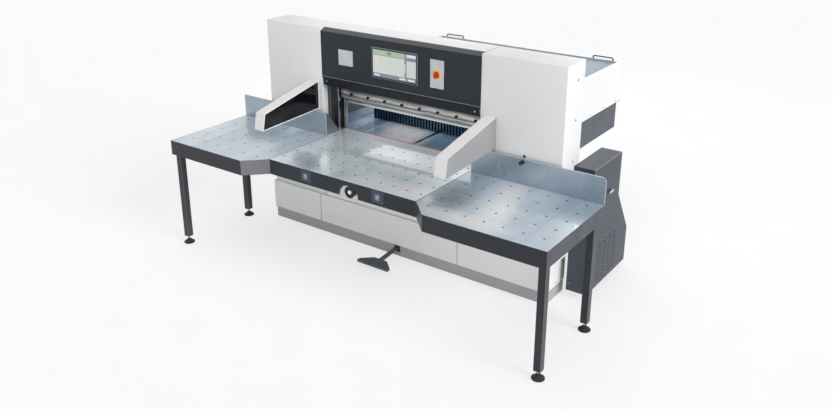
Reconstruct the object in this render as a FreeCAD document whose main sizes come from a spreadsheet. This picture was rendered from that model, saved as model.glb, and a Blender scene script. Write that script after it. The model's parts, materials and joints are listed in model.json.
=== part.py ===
import FreeCAD, Part
import math
import os
from types import SimpleNamespace

import Sketcher

# A programmed guillotine for stacks of paper, with air tables on three sides.
# X runs to the operator's right, Y to the back and Z up. The origin lies on the
# floor, straight below the middle of the knife's cutting line.

# The driving sizes, in millimetres. Each one stands once, in the sheet below.
SIZES = {
    # working opening
    "cut_width": 1370,
    "throat_margin": 62,
    "opening_height": 233,
    "guide_width": 47,
    "guide_depth": 15,
    "front_guide_depth": 22,
    "stick_size": 12,
    "stick_height": 15,
    # knife, carrier and their two pistons
    "edge_rise": 12,
    "knife_side_shift": 40,
    "knife_overlap": 20,
    "knife_height": 130,
    "knife_thickness": 12,
    "bevel_height": 33,
    "knife_bolt": 14,
    "bolt_pitch": 170,
    "bolt_end": 60,
    "bolt_rise": 40,
    "bolt_head": 22,
    "bolt_head_height": 9,
    "bolt_stop": 2.5,
    "carrier_thickness": 40,
    "carrier_foot": 40,
    "carrier_height": 500,
    "lug_rise": 150,
    "lug_height": 60,
    "lug_width": 60,
    "lug_floor": 15,
    "piston_size": 28,
    "piston_play": 5,
    "cylinder_size": 64,
    "cylinder_inset": 147,
    "cylinder_offset": 98,
    "barrel_start": 14,
    "barrel_cap": 12,
    # clamp and its yoke
    "clamp_height": 197,
    "clamp_ear_height": 80,
    "clamp_rod": 36,
    "rod_wall": 2,
    "rod_edge": 10,
    "rod_cap": 20,
    "yoke_gap": 20,
    "yoke_height": 60,
    "yoke_reach": 57,
    "clamp_piston": 50,
    "piston_hold": 28,
    "clamp_barrel": 80,
    "barrel_setback": 30,
    "barrel_foot": 12,
    "barrel_foot_width": 120,
    "barrel_foot_edge": 5,
    "barrel_floor": 10,
    "stroke_room": 7,
    # machine frame
    "frame_wall": 80,
    "frame_setback": 91,
    "frame_step": 80,
    "frame_foot_step": 220,
    "girder_depth": 160,
    "girder_gap": 5,
    "floor_beam": 20,
    "floor_beam_setback": 21,
    "roof_gap": 15,
    "beam_roof": 40,
    "beam_roof_margin": 10,
    "beam_wall": 22,
    "beam_front_height": 300,
    "clamp_room": 15,
    # covers
    "front_reach": 211,
    "cover_sheet": 4,
    "cover_gap": 40,
    "flange_width": 60,
    "left_column_width": 593,
    "right_column_width": 658,
    "base_margin": 10,
    "base_height": 352,
    "plinth_height": 99,
    "plinth_inset": 5,
    "plinth_proud": 4,
    "panel_proud": 19,
    "left_seam_offset": 55,
    "right_seam_offset": 161,
    "window_margin": 12,
    "window_drop": 16,
    "window_rim": 4,
    "screw_head": 16,
    "screw_proud": 4,
    "screw_setback": 162,
    "low_screw_rise": 175,
    "middle_screw_rise": 478,
    "high_screw_rise": 760,
    # fascia and hinged flap
    "fascia_rise": 492,
    "bevel_depth": 46,
    "bevel_drop": 22,
    "crest_lip": 8,
    "hinge_pin": 6,
    "knuckle_wall": 3,
    "hinge_gap": 2,
    "ear_width": 9,
    "ear_lap": 6,
    "flap_drop": 74,
    "flap_lean": 9,
    "flap_return": 15,
    # monitor and switch plates
    "monitor_left": -228,
    "monitor_width": 428,
    "monitor_rise": 73,
    "monitor_height": 235,
    "monitor_proud": 6,
    "monitor_depth": 77,
    "monitor_bezel": 12,
    "bezel_depth": 5,
    "screen_sheet": 3.5,
    "service_left": -563,
    "service_width": 143,
    "service_rise": 121,
    "service_height": 124,
    "service_sheet": 3,
    "switch_left": 315,
    "switch_width": 119,
    "switch_rise": 78,
    "switch_height": 213,
    "switch_sheet": 4,
    "knob_place": 372,
    "knob_rise": 181,
    "knob_size": 52,
    "knob_disc": 12,
    "knob_shaft": 10,
    "knob_tail": 30,
    "grip_width": 16,
    "grip_height": 18,
    # front table
    "table_height": 900,
    "table_plate": 10,
    "table_reach": 908,
    "bar_height": 120,
    "bar_wall": 12,
    "air_hole": 12,
    "hole_pitch": 117,
    "hole_margin": 40,
    "row_pitch": 150,
    "first_row": 118,
    "rear_first_row": 45,
    "rib_width": 60,
    "rib_height": 100,
    "rib_offset": 140,
    "notch_radius": 87,
    "notch_place": 92,
    "wheel_place": 103,
    "wheel_drop": 80,
    "wheel_size": 90,
    "wheel_width": 22,
    "wheel_proud": 6,
    "wheel_dish": 5,
    "wheel_rim": 14,
    "wheel_round": 3,
    "wheel_shaft": 12,
    "wheel_tail": 40,
    "hanger_width": 68,
    "hanger_setback": 8,
    "hanger_sheet": 14,
    "hanger_foot": 26,
    "button_drop": 54,
    "button_width": 40,
    "button_height": 46,
    "button_proud": 6,
    "button_tail": 16,
    "button_plate_width": 104,
    "button_plate_height": 88,
    "button_plate_sheet": 3,
    "left_button_place": -314,
    "right_button_place": 357,
    # side tables, their legs and guards
    "side_step": 154,
    "left_table_width": 960,
    "right_table_width": 1052,
    "left_hole_margin": 107,
    "left_hole_pitch": 146,
    "right_hole_margin": 92,
    "right_hole_pitch": 142,
    "inner_hole_margin": 100,
    "side_row_margin": 142,
    "side_row_pitch": 152,
    "side_row_end": 60,
    "bearer_width": 40,
    "bearer_rise": 40,
    "leg_size": 50,
    "left_leg_inset": 51,
    "rear_leg_inset": 96,
    "leg_rail_rise": 60,
    "foot_height": 63,
    "foot_disc": 88,
    "foot_base": 10,
    "foot_crown": 18,
    "foot_stem": 16,
    "foot_collar": 6,
    "guard_offset": 24,
    "guard_height": 193,
    "guard_sheet": 3,
    "guard_corner": 28,
    "first_guard_width": 245,
    "second_guard_width": 353,
    "gusset_gap": 8,
    "gusset_foot": 8,
    "gusset_crown": 12,
    "thumb_place": 424,
    "thumb_rise": 162,
    "thumb_size": 30,
    "thumb_length": 24,
    "thumb_round": 4,
    "thumb_neck": 18,
    "thumb_shank": 10,
    # arms that carry the light curtain
    "arm_inset": 40,
    "arm_width": 95,
    "arm_reach": 644,
    "arm_clearance": 14.7,
    "arm_fall": 23,
    "arm_root_height": 237,
    "arm_tip_height": 133,
    "arm_nose": 25,
    "arm_rim": 8,
    "pane_setback": 1,
    "pane_sheet": 8,
    # back gauge and its drive
    "gauge_rest": 355,
    "gauge_height": 224,
    "gauge_margin": 15,
    "gauge_plate": 20,
    "gauge_rib": 20,
    "gauge_rib_width": 12,
    "gauge_rib_pitch": 30,
    "carriage_setback": 20,
    "carriage_width": 220,
    "carriage_length": 170,
    "carriage_rise": 28,
    "carriage_drop": 30,
    "neck_play": 2,
    "neck_shelf": 30,
    "neck_top": 40,
    "screw_drop": 70,
    "screw_size": 32,
    "rail_size": 30,
    "rail_spread": 80,
    "slot_width": 40,
    "bearing_depth": 40,
    "bearing_margin": 50,
    "bearing_drop": 36,
    "bearing_cap": 5,
    "track_room": 46,
    "motor_place": 210,
    "motor_size": 100,
    "motor_flange": 12,
    "motor_flange_margin": 10,
    "motor_length": 240,
    # rear table
    "rear_end": 1855,
    "rear_margin": 228,
    "skirt_inset": 25,
    "skirt_drop": 166,
    "tray_floor": 8,
    "tray_margin": 20,
    "ledge_width": 30,
    "ledge_height": 6,
    "back_ledge_drop": 90,
    "wall_rise": 88,
    "wall_height": 355,
    "wall_lip": 40,
    "wall_joint": 12,
    "rear_ear_inset": 3,
    "rear_ear_width": 6,
    "handle_bar": 12,
    "handle_leg": 11,
    "handle_length": 190,
    "handle_inset": 185,
    "handle_rise": 26,
    "pedestal_width": 420,
    "pedestal_depth": 320,
    "pedestal_place": 1300,
    "pedestal_sheet": 6,
    "pedestal_foot": 12,
    "pedestal_margin": 40,
    "anchor_hole": 14,
    "anchor_inset": 20,
    # electrical cabinet
    "cabinet_width": 162,
    "cabinet_front": -20,
    "cabinet_low": 60,
    "cabinet_top": 1035,
    "cabinet_upper_depth": 470,
    "cabinet_lower_depth": 702,
    "cabinet_step_low": 348,
    "cabinet_step_top": 698,
    "cabinet_sheet": 4,
    "cabinet_hinge_out": 5,
    "cabinet_hinge_ahead": 8,
    "low_hinge_rise": 140,
    "high_hinge_drop": 190,
    "knuckle_height": 50,
    "hinge_ear": 10,
    "hinge_lap": 16,
    "louvre_start": 170,
    "louvre_width": 70,
    "louvre_step": 91,
    "louvre_slot": 7,
    "louvre_pitch": 19,
    "louvre_rise": 50,
    "louvre_rows": 17,
    "louvre_columns": 4,
    "latch_place": 288,
    "latch_level": 790,
    "latch_rose": 28,
    "latch_rose_height": 6,
    "latch_spindle": 16,
    "latch_reach": 62,
    "latch_heel": 12,
    "latch_grip": 18,
    "tongue_length": 44,
    "tongue_sheet": 6,
    "tongue_setback": 10,
    "gland_size": 40,
    "gland_neck": 28,
    "gland_bore": 20,
    "gland_length": 26,
    "gland_depth": 16,
    "gland_level": 180,
    # foot pedal
    "pedal_pivot_level": 78,
    "pedal_pivot_back": 160,
    "pedal_pin": 12,
    "pedal_eye": 28,
    "pedal_arm": 34,
    "pedal_cheek": 12,
    "pedal_cheek_width": 36,
    "pedal_reach": 545,
    "tread_width": 300,
    "tread_depth": 112,
    "tread_level": 50,
    "tread_lip": 6,
    "tread_sheet": 18,
    "tread_front": 32,
    "tread_neck": 126,
    # hydraulic unit
    "tank_margin": 47,
    "tank_length": 450,
    "tank_height": 200,
    "tank_front": 25,
    "tank_back": 10,
    "pump_size": 130,
    "pump_place": 80,
    "pump_length": 310,
    "pump_setback": 100,
    "pump_rise": 70,
    "saddle_place": 130,
    "saddle_length": 220,
    "saddle_depth": 80,
    "saddle_height": 30,
    "valve_place": 20,
    "valve_length": 50,
    "valve_setback": 60,
    "valve_depth": 100,
    "valve_height": 100,
    # running gaps and seats
    "fit_gap": 0.3,
    "seat_gap": 0.1,
    "slide_gap": 1,
    "pin_gap": 0.05,
    "bore_gap": 0.1,
    # how far a joined piece sinks into its neighbour, and a cut runs past its piece
    "weld": 1,
    "past": 5,
}

doc = FreeCAD.newDocument("paper_cutter")
sheet = doc.addObject("Spreadsheet::Sheet", "Sizes")
for row, (name, amount) in enumerate(SIZES.items(), start=1):
    sheet.set(f"A{row}", name)
    sheet.set(f"B{row}", str(amount))
    sheet.setAlias(f"B{row}", name)
doc.recompute()


# A length that carries both its formula on the sheet and its present value.
class Size:
    def __init__(self, text, value):
        self.text = text
        self.value = float(value)

    def __add__(self, other):
        other = as_size(other)
        return Size(f"({self.text} + {other.text})", self.value + other.value)

    def __sub__(self, other):
        other = as_size(other)
        return Size(f"({self.text} - {other.text})", self.value - other.value)

    def __mul__(self, other):
        other = as_size(other)
        return Size(f"({self.text} * {other.text})", self.value * other.value)

    def __truediv__(self, other):
        other = as_size(other)
        return Size(f"({self.text} / {other.text})", self.value / other.value)

    def __neg__(self):
        return Size(f"(0 - {self.text})", -self.value)

    __radd__ = __add__
    __rmul__ = __mul__

    def __rsub__(self, other):
        return as_size(other) - self


def as_size(item):
    return item if isinstance(item, Size) else Size(f"({float(item)})", item)


def root_of(item):
    return Size(f"sqrt({item.text})", math.sqrt(item.value))


size = SimpleNamespace(**{name: Size(f"Sizes.{name}", SIZES[name]) for name in SIZES})
gap = size.fit_gap


def bind(item, prop, amount):
    item.setExpression(prop, as_size(amount).text)


# Sketches, pads and pockets. A range is a pair, lowest first, along the axis
# that stands square to the sketch, so every corner is written in the part's own
# frame: (x, y) on XY_Plane, (x, z) on XZ_Plane and (y, z) on YZ_Plane.
def new_sketch(body, plane, offset):
    sketch = body.newObject("Sketcher::SketchObject", body.Name + "_sketch")
    support = next(item for item in body.Origin.OriginFeatures if item.Role == plane)
    sketch.AttachmentSupport = [(support, "")]
    sketch.MapMode = "FlatFace"
    bind(sketch, "AttachmentOffset.Base.z", offset)
    return sketch


def pin_down(sketch, geometry, position, point):
    for kind, amount in zip(("DistanceX", "DistanceY"), point):
        amount = as_size(amount)
        constraint = Sketcher.Constraint(kind, -1, 1, geometry, position, amount.value)
        index = sketch.addConstraint(constraint)
        bind(sketch, f"Constraints[{index}]", amount)


def draw_outline(sketch, corners):
    first = sketch.GeometryCount
    count = len(corners)
    points = [FreeCAD.Vector(as_size(a).value, as_size(b).value, 0) for a, b in corners]
    for start, end in zip(points, points[1:] + points[:1]):
        sketch.addGeometry(Part.LineSegment(start, end))
    for turn in range(count):
        following = first + (turn + 1) % count
        sketch.addConstraint(Sketcher.Constraint("Coincident", first + turn, 2, following, 1))
    for turn, corner in enumerate(corners):
        pin_down(sketch, first + turn, 1, corner)


def draw_circle(sketch, centre, radius):
    radius = as_size(radius)
    middle = FreeCAD.Vector(as_size(centre[0]).value, as_size(centre[1]).value, 0)
    circle = sketch.addGeometry(Part.Circle(middle, FreeCAD.Vector(0, 0, 1), radius.value))
    pin_down(sketch, circle, 3, centre)
    index = sketch.addConstraint(Sketcher.Constraint("Radius", circle, radius.value))
    bind(sketch, f"Constraints[{index}]", radius)


def draw(sketch, outlines, circles):
    for corners in outlines:
        draw_outline(sketch, corners)
    for centre, radius in circles:
        draw_circle(sketch, centre, radius)


def rectangle(across, up):
    return [(across[0], up[0]), (across[1], up[0]), (across[1], up[1]), (across[0], up[1])]


def pad(body, plane, span, outlines=(), circles=()):
    low, high = as_size(span[0]), as_size(span[1])
    offset = -high if plane == "XZ_Plane" else low
    sketch = new_sketch(body, plane, offset)
    draw(sketch, outlines, circles)
    feature = body.newObject("PartDesign::Pad", body.Name + "_pad")
    feature.Profile = sketch
    bind(feature, "Length", high - low)
    doc.recompute()
    return feature


def pocket(body, plane, span, outlines=(), circles=()):
    before = body.Shape.Volume
    low, high = as_size(span[0]), as_size(span[1])
    offset = -low if plane == "XZ_Plane" else high
    sketch = new_sketch(body, plane, offset)
    draw(sketch, outlines, circles)
    feature = body.newObject("PartDesign::Pocket", body.Name + "_pocket")
    feature.Profile = sketch
    bind(feature, "Length", high - low)
    doc.recompute()
    if body.Shape.Volume >= before:
        raise RuntimeError(f"{body.Label}: a pocket removes nothing")
    return feature


def repeat(body, feature, axis, pitch, copies):
    pattern = body.newObject("PartDesign::LinearPattern", body.Name + "_row")
    pattern.Originals = [feature]
    direction = next(item for item in body.Origin.OriginFeatures if item.Role == axis)
    pattern.Direction = (direction, [""])
    bind(pattern, "Length", as_size(pitch) * (copies - 1))
    pattern.Occurrences = copies
    body.Tip = pattern
    doc.recompute()
    return pattern


def turned(label, axis_place, profile):
    # a body of revolution about the line along Y through axis_place = (x, z);
    # the profile's corners are (distance from the line, y)
    body = doc.addObject("PartDesign::Body", label)
    sketch = new_sketch(body, "XY_Plane", axis_place[1])
    bind(body, "Placement.Base.x", axis_place[0])
    draw_outline(sketch, profile)
    feature = body.newObject("PartDesign::Revolution", body.Name + "_turned")
    feature.Profile = sketch
    feature.ReferenceAxis = (sketch, ["V_Axis"])
    feature.Angle = 360
    doc.recompute()
    return body


def extruded(label, plane, span, outlines=(), circles=()):
    body = doc.addObject("PartDesign::Body", label)
    pad(body, plane, span, outlines, circles)
    return body


# Plain solids and the ways they are joined.
def box(label, x, y, z):
    item = doc.addObject("Part::Box", label)
    for prop, axis, span in (("Length", "x", x), ("Width", "y", y), ("Height", "z", z)):
        bind(item, prop, as_size(span[1]) - span[0])
        bind(item, "Placement.Base." + axis, span[0])
    return item


TURNS = {
    "x": FreeCAD.Rotation(FreeCAD.Vector(0, 1, 0), 90),
    "y": FreeCAD.Rotation(FreeCAD.Vector(1, 0, 0), -90),
    "z": FreeCAD.Rotation(),
}


def cylinder(label, axis, span, middle, radius):
    # middle gives the two other coordinates, in the order x, y, z
    item = doc.addObject("Part::Cylinder", label)
    item.Placement = FreeCAD.Placement(FreeCAD.Vector(), TURNS[axis])
    bind(item, "Radius", radius)
    bind(item, "Height", as_size(span[1]) - span[0])
    others = [name for name in "xyz" if name != axis]
    bind(item, "Placement.Base." + axis, span[0])
    for name, amount in zip(others, middle):
        bind(item, "Placement.Base." + name, amount)
    return item


def cut(label, base, *tools):
    for turn, tool in enumerate(tools, start=1):
        last = turn == len(tools)
        result = doc.addObject("Part::Cut", label if last else f"{label}_stage")
        result.Base = base
        result.Tool = tool
        base = result
    return result


def fuse(label, *pieces):
    result = doc.addObject("Part::MultiFuse", label)
    result.Shapes = list(pieces)
    return result


def group(label, *pieces):
    result = doc.addObject("Part::Compound", label)
    result.Links = list(pieces)
    return result


# Places that several pieces share.
half_cut = size.cut_width / 2
throat = half_cut + size.throat_margin
frame_end = throat - gap
top = size.table_height
plate_low = top - size.table_plate
bar_low = top - size.bar_height
bar_front = -size.table_reach
bar_back = bar_front + size.bar_wall
table_front = bar_back + gap
side_front = bar_front - size.side_step
column_front = -size.front_reach
guard_back = column_front - size.guard_offset
guard_front = guard_back - size.guard_sheet
left_end = -(half_cut + size.left_table_width)
right_end = half_cut + size.right_table_width
left_column = -(throat + size.left_column_width)
right_column = throat + size.right_column_width
base_half = throat + size.left_column_width + size.base_margin
panel_front = column_front - size.panel_proud
plinth_front = column_front - size.plinth_proud

clamp_front = size.slide_gap
clamp_low = top + size.opening_height
clamp_top = clamp_low + size.clamp_height
clamp_stroke = size.opening_height - gap
rod_centre = clamp_front + size.guide_depth + size.slide_gap + size.clamp_rod / 2
rod_place = frame_end - size.clamp_rod / 2 - size.rod_edge
clamp_back = rod_centre + size.clamp_rod / 2 + size.rod_wall
inner_back = clamp_back
column_back = inner_back + size.cover_sheet
frame_back = inner_back - gap
frame_front = column_front + size.frame_setback

knife_edge = clamp_low + size.edge_rise
knife_drop = knife_edge - top - gap
knife_path = root_of(knife_drop * knife_drop + size.knife_side_shift * size.knife_side_shift)
knife_middle = size.knife_side_shift / 2
knife_half = half_cut + size.knife_overlap
knife_span = (knife_middle - knife_half, knife_middle + knife_half)
carrier_back = -(size.knife_thickness + gap)
carrier_front = carrier_back - size.carrier_thickness
carrier_low = knife_edge + size.carrier_foot
carrier_top = carrier_low + size.carrier_height
bolt_level = carrier_low + size.bolt_rise
cylinder_spread = throat - size.cylinder_inset

guide_end = frame_end
guide_start = guide_end - size.guide_width
front_guide_back = carrier_front - size.slide_gap
front_guide_front = front_guide_back - size.front_guide_depth
roof_low = carrier_top + size.roof_gap
frame_top = roof_low + size.beam_roof
machine_top = frame_top + size.cover_gap + size.cover_sheet
beam_front_low = roof_low - size.beam_front_height
beam_rear_low = clamp_top + size.clamp_room
barrel_end = (roof_low - gap - size.cylinder_size / 2 * size.knife_side_shift / knife_path
              - (carrier_low + size.lug_rise + size.lug_height)) * knife_path / knife_drop

girder_low = bar_low - size.girder_depth
girder_back = rod_centre - size.clamp_rod / 2 - size.girder_gap
yoke_top = girder_low - size.yoke_gap
yoke_low = yoke_top - size.yoke_height
unit_low = size.floor_beam + gap
barrel_middle = rod_centre - size.barrel_setback
barrel_top = yoke_low - clamp_stroke - size.stroke_room

fascia_low = top + size.fascia_rise
flap_low = fascia_low - size.flap_drop
knuckle = size.hinge_pin / 2 + size.knuckle_wall
pin_bore = size.hinge_pin / 2 + size.pin_gap
flap_hinge = (column_front + knuckle + size.hinge_gap, fascia_low - knuckle - size.hinge_gap)
knob_middle = (size.knob_place, fascia_low + size.knob_rise)
button_level = top - size.button_drop
wheel_level = top - size.wheel_drop

seam_in = half_cut + size.bar_wall
guard_low = top + gap
guard_high = guard_low + size.guard_height
guard_seams = (half_cut + size.first_guard_width,
               half_cut + size.first_guard_width + size.second_guard_width)
thumb_middle = (half_cut + size.thumb_place, top + size.thumb_rise)
arm_in = throat + size.arm_inset
arm_out = arm_in + size.arm_width
arm_root = column_front - gap
arm_tip = column_front - size.arm_reach
arm_root_low = guard_high + size.arm_clearance
arm_root_high = arm_root_low + size.arm_root_height
arm_tip_low = arm_root_low - size.arm_fall
arm_tip_high = arm_tip_low + size.arm_tip_height

wall_half = throat + size.rear_margin
skirt_half = wall_half - size.skirt_inset
skirt_end = size.rear_end - size.skirt_inset
skirt_low = top - size.skirt_drop
wall_low = top + size.wall_rise
wall_top = wall_low + size.wall_height
skirt_top = wall_low - gap
rear_start = column_back + gap
rear_ear = wall_half - size.rear_ear_inset
rear_hinge = (size.rear_end - size.cover_sheet - size.knuckle_wall, wall_low + knuckle + size.hinge_gap)

gauge_half = half_cut - size.gauge_margin
gauge_top = top + size.gauge_height
gauge_plate_front = size.gauge_rest + size.gauge_rib
gauge_plate_back = gauge_plate_front + size.gauge_plate
carriage_front = gauge_plate_back + size.carriage_setback
carriage_back = carriage_front + size.carriage_length
screw_level = top - size.screw_drop
track_front = girder_back + gap
track_end = skirt_end - size.cover_sheet - size.track_room
bearing_half = size.rail_spread + size.bearing_margin

cabinet_in = right_column + gap
cabinet_out = cabinet_in + size.cabinet_width
cabinet_back = size.cabinet_front + size.cabinet_lower_depth
door_in = cabinet_out - size.cabinet_sheet
cabinet_hinge = (cabinet_out + size.cabinet_hinge_out, size.cabinet_front - size.cabinet_hinge_ahead)
cabinet_knuckles = (size.cabinet_low + size.low_hinge_rise, size.cabinet_top - size.high_hinge_drop)
pedal_pivot = (-size.pedal_pivot_back, size.pedal_pivot_level)


def sided(sign, inner, outer):
    # a range on the right for sign 1, its mirror image on the left for sign -1
    return (inner, outer) if sign > 0 else (-as_size(outer), -as_size(inner))


def around(middle, width):
    return (middle - width / 2, middle + width / 2)


def places(first, pitch, last):
    # evenly spaced places from first, as many as fit before last
    first, pitch, last = as_size(first), as_size(pitch), as_size(last)
    count = int((last.value - first.value) // pitch.value) + 1
    return [first + pitch * number for number in range(count)]


def side_frames():
    # the two upright side frames, with a wider foot than head
    foot = column_front + size.flange_width + size.slide_gap
    profile = [(foot, 0), (frame_back, 0), (frame_back, frame_top), (frame_front, frame_top),
               (frame_front, bar_low - size.frame_step), (foot, bar_low - size.frame_foot_step)]
    frames = [extruded("side_frame", "YZ_Plane", sided(sign, throat, throat + size.frame_wall), [profile])
              for sign in (-1, 1)]
    return group("side_frames", *frames)


def pedal_cheek(sign):
    inner = size.pedal_arm / 2 + gap
    return box("pedal_cheek", sided(sign, inner, inner + size.pedal_cheek),
               around(pedal_pivot[0], size.pedal_cheek_width),
               (size.floor_beam - size.weld, size.pedal_pivot_level + size.pedal_cheek_width / 2))


def cross_beams():
    # the girder under the knife line, with a groove for the stick, and the floor beam
    girder = extruded("table_girder", "YZ_Plane", (-frame_end, frame_end),
                      [rectangle((frame_front, girder_back), (girder_low, plate_low))])
    pocket(girder, "YZ_Plane", (-throat, throat),
           [rectangle(around(as_size(0), size.stick_size + gap * 2), (top - size.stick_height, plate_low))])
    floor_beam = box("floor_beam_sheet", (-frame_end, frame_end),
                     (column_front + size.floor_beam_setback, frame_back), (0, size.floor_beam))
    blank = fuse("floor_beam_blank", floor_beam, pedal_cheek(-1), pedal_cheek(1))
    bore = cylinder("pedal_bore", "x", (-size.pedal_arm, size.pedal_arm), pedal_pivot,
                    size.pedal_pin / 2 + size.pin_gap)
    return group("cross_beams", girder, cut("floor_beam", blank, bore))


def upper_beam():
    # an open-bottomed box beam that straddles the knife carrier
    roof_front = -(size.cylinder_offset + size.cylinder_size / 2 + size.beam_roof_margin)
    wall_high = roof_low + size.weld
    wall_end = cylinder_spread - size.cylinder_size * 2
    roof = box("beam_roof", (-frame_end, frame_end), (roof_front, frame_back), (roof_low, frame_top))
    front_wall = box("beam_front", (-wall_end, wall_end),
                     (-size.cylinder_offset, size.beam_wall - size.cylinder_offset),
                     (beam_front_low, wall_high))
    rear_wall = box("beam_rear", (-frame_end, frame_end), (frame_back - size.beam_wall, frame_back),
                    (beam_rear_low, wall_high))
    return fuse("upper_beam", roof, front_wall, rear_wall)


def throat_guides():
    # polished posts at both ends of the opening, before and behind the knife
    behind = (clamp_front, clamp_front + size.guide_depth)
    ahead = (front_guide_front, front_guide_back)
    posts = [box("post", sided(sign, guide_start, guide_end), span, (plate_low, beam_front_low))
             for sign in (-1, 1) for span in (behind, ahead)]
    return group("throat_guides", *posts)


def plinth():
    outer = base_half - size.plinth_inset
    high = size.plinth_height - gap
    slot = size.pedal_arm / 2 + size.window_margin
    front = box("plinth_front", (-outer, outer), (plinth_front, plinth_front + size.cover_sheet), (0, high))
    sides = [box("plinth_side", sided(sign, outer - size.cover_sheet, outer),
                 (plinth_front, column_back - gap), (0, high)) for sign in (-1, 1)]
    window = box("pedal_window", (-slot, slot),
                 (plinth_front - size.past, plinth_front + size.cover_sheet + size.past),
                 (size.tread_level - size.window_drop, size.plinth_height - size.window_rim))
    return cut("plinth", fuse("plinth_blank", front, *sides), window)


def lower_panel(label, left, right, end=0):
    # front sheet with a top flange; end = -1 or 1 adds the return round that end
    wall = size.cover_sheet
    low, high = size.plinth_height, size.base_height - gap
    pieces = [box(label + "_front", (left, right), (panel_front, panel_front + wall), (low, high)),
              box(label + "_flange", (left, right), (panel_front, column_front + wall), (high - wall, high))]
    if end:
        pieces.append(box(label + "_return", sided(end, base_half - wall, base_half),
                          (panel_front, frame_back), (low, high)))
    return fuse(label, *pieces)


def lower_panels():
    left_seam = -(throat + size.left_seam_offset)
    right_seam = throat - size.right_seam_offset
    return group("lower_panels", lower_panel("left_lower_panel", -base_half, left_seam - gap, -1),
                 lower_panel("middle_lower_panel", left_seam + gap, right_seam - gap),
                 lower_panel("right_lower_panel", right_seam + gap, base_half, 1))


def apron():
    return box("apron", (-frame_end, frame_end), (column_front, column_front + size.cover_sheet),
               (size.base_height, bar_low - gap))


def rear_base_cover():
    low, middle, high = size.plinth_height, size.base_height - gap, skirt_low - gap
    outline = [(-base_half, low), (base_half, low), (base_half, middle), (frame_end, middle),
               (frame_end, high), (-frame_end, high), (-frame_end, middle), (-base_half, middle)]
    return extruded("rear_base_cover", "XZ_Plane", (inner_back, column_back), [outline])


def column_cover(label, side, width):
    # five flat sheets welded edge to edge, open below and inward behind a narrow flange
    wall = size.cover_sheet
    low, high = size.base_height, machine_top
    outer = throat + width
    upright = (low, high - wall)
    crown = box(label + "_crown", sided(side, throat, outer), (column_front, column_back),
                (high - wall, high))
    flank = box(label + "_flank", sided(side, outer - wall, outer), (column_front, column_back), upright)
    face = box(label + "_face", sided(side, throat, outer - wall),
               (column_front, column_front + wall), upright)
    back = box(label + "_back", sided(side, throat, outer - wall), (inner_back, column_back), upright)
    flange = box(label + "_flange", sided(side, throat, throat + wall),
                 (column_front + wall, column_front + size.flange_width), upright)
    return group(label, crown, flank, face, back, flange)


def top_cover():
    wall = size.cover_sheet
    front = column_front + size.bevel_depth + size.crest_lip + gap
    profile = [(front, machine_top - wall), (inner_back, machine_top - wall), (inner_back, beam_rear_low),
               (column_back, beam_rear_low), (column_back, machine_top), (front, machine_top)]
    return extruded("top_cover", "YZ_Plane", (-frame_end, frame_end), [profile])


def fascia():
    # a sheet with a bevel along its crest and an ear for the flap's pin at each end
    wall = size.cover_sheet
    front = column_front
    crest = front + size.bevel_depth
    slope = root_of(size.bevel_depth * size.bevel_depth + size.bevel_drop * size.bevel_drop)
    profile = [(front, fascia_low), (front, machine_top - size.bevel_drop), (crest, machine_top),
               (crest + size.crest_lip, machine_top), (crest + size.crest_lip, machine_top - wall),
               (crest + wall * (slope - size.bevel_depth) / size.bevel_drop, machine_top - wall),
               (front + wall,
                machine_top - size.bevel_drop - wall * (slope - size.bevel_drop) / size.bevel_depth),
               (front + wall, fascia_low)]
    body = extruded("fascia_sheet", "YZ_Plane", (-frame_end, frame_end), [profile])
    monitor_low = fascia_low + size.monitor_rise
    opening = rectangle((size.monitor_left - gap, size.monitor_left + size.monitor_width + gap),
                        (monitor_low - gap, monitor_low + size.monitor_height + gap))
    pocket(body, "XZ_Plane", (front - size.past, front + wall + size.past), [opening],
           [(knob_middle, size.knob_shaft / 2 + size.bore_gap)])
    hinge_y, hinge_z = flap_hinge
    ears = [box("fascia_ear", sided(sign, frame_end - size.ear_width, frame_end),
                (front + size.weld, hinge_y + knuckle), (hinge_z - knuckle, fascia_low + size.ear_lap))
            for sign in (-1, 1)]
    return cut("fascia", fuse("fascia_blank", body, *ears),
               cylinder("fascia_bore", "x", (-throat, throat), flap_hinge, pin_bore))


def knife_flap():
    # the narrow guard below the crease, hung on a pin along its upper edge
    side = frame_end - size.ear_width - gap
    wall = size.cover_sheet
    hinge_y, hinge_z = flap_hinge
    head = hinge_y - knuckle + gap
    foot = column_front + size.flap_lean
    profile = [(head, hinge_z), (head + wall, hinge_z), (foot + wall, flap_low + wall),
               (foot + size.flap_return, flap_low + wall), (foot + size.flap_return, flap_low),
               (foot, flap_low)]
    leaf = extruded("flap_leaf", "YZ_Plane", (-side, side), [profile])
    barrel = cylinder("flap_knuckle", "x", (-side, side), flap_hinge, knuckle)
    bore = cylinder("flap_bore", "x", (-throat, throat), flap_hinge, pin_bore)
    return cut("knife_flap", fuse("flap_blank", leaf, barrel), bore)


def hinge_pins():
    radius = size.hinge_pin / 2
    pins = [cylinder("flap_pin", "x", (-frame_end, frame_end), flap_hinge, radius),
            cylinder("rear_pin", "x", (-rear_ear, rear_ear), rear_hinge, radius)]
    for low in cabinet_knuckles:
        span = (low - size.hinge_ear, low + size.knuckle_height + size.hinge_ear)
        pins.append(cylinder("cabinet_pin", "z", span, cabinet_hinge, radius))
    return group("hinge_pins", *pins)


def monitor_span(inset):
    low = fascia_low + size.monitor_rise
    return ((size.monitor_left + inset, size.monitor_left + size.monitor_width - inset),
            (low + inset, low + size.monitor_height - inset))


monitor_front = column_front - size.monitor_proud
bezel_back = monitor_front + size.bezel_depth


def monitor_housing():
    body = extruded("monitor_housing", "XZ_Plane", (monitor_front, monitor_front + size.monitor_depth),
                    [rectangle(*monitor_span(as_size(0)))])
    pocket(body, "XZ_Plane", (monitor_front, bezel_back), [rectangle(*monitor_span(size.monitor_bezel))])
    return body


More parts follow.
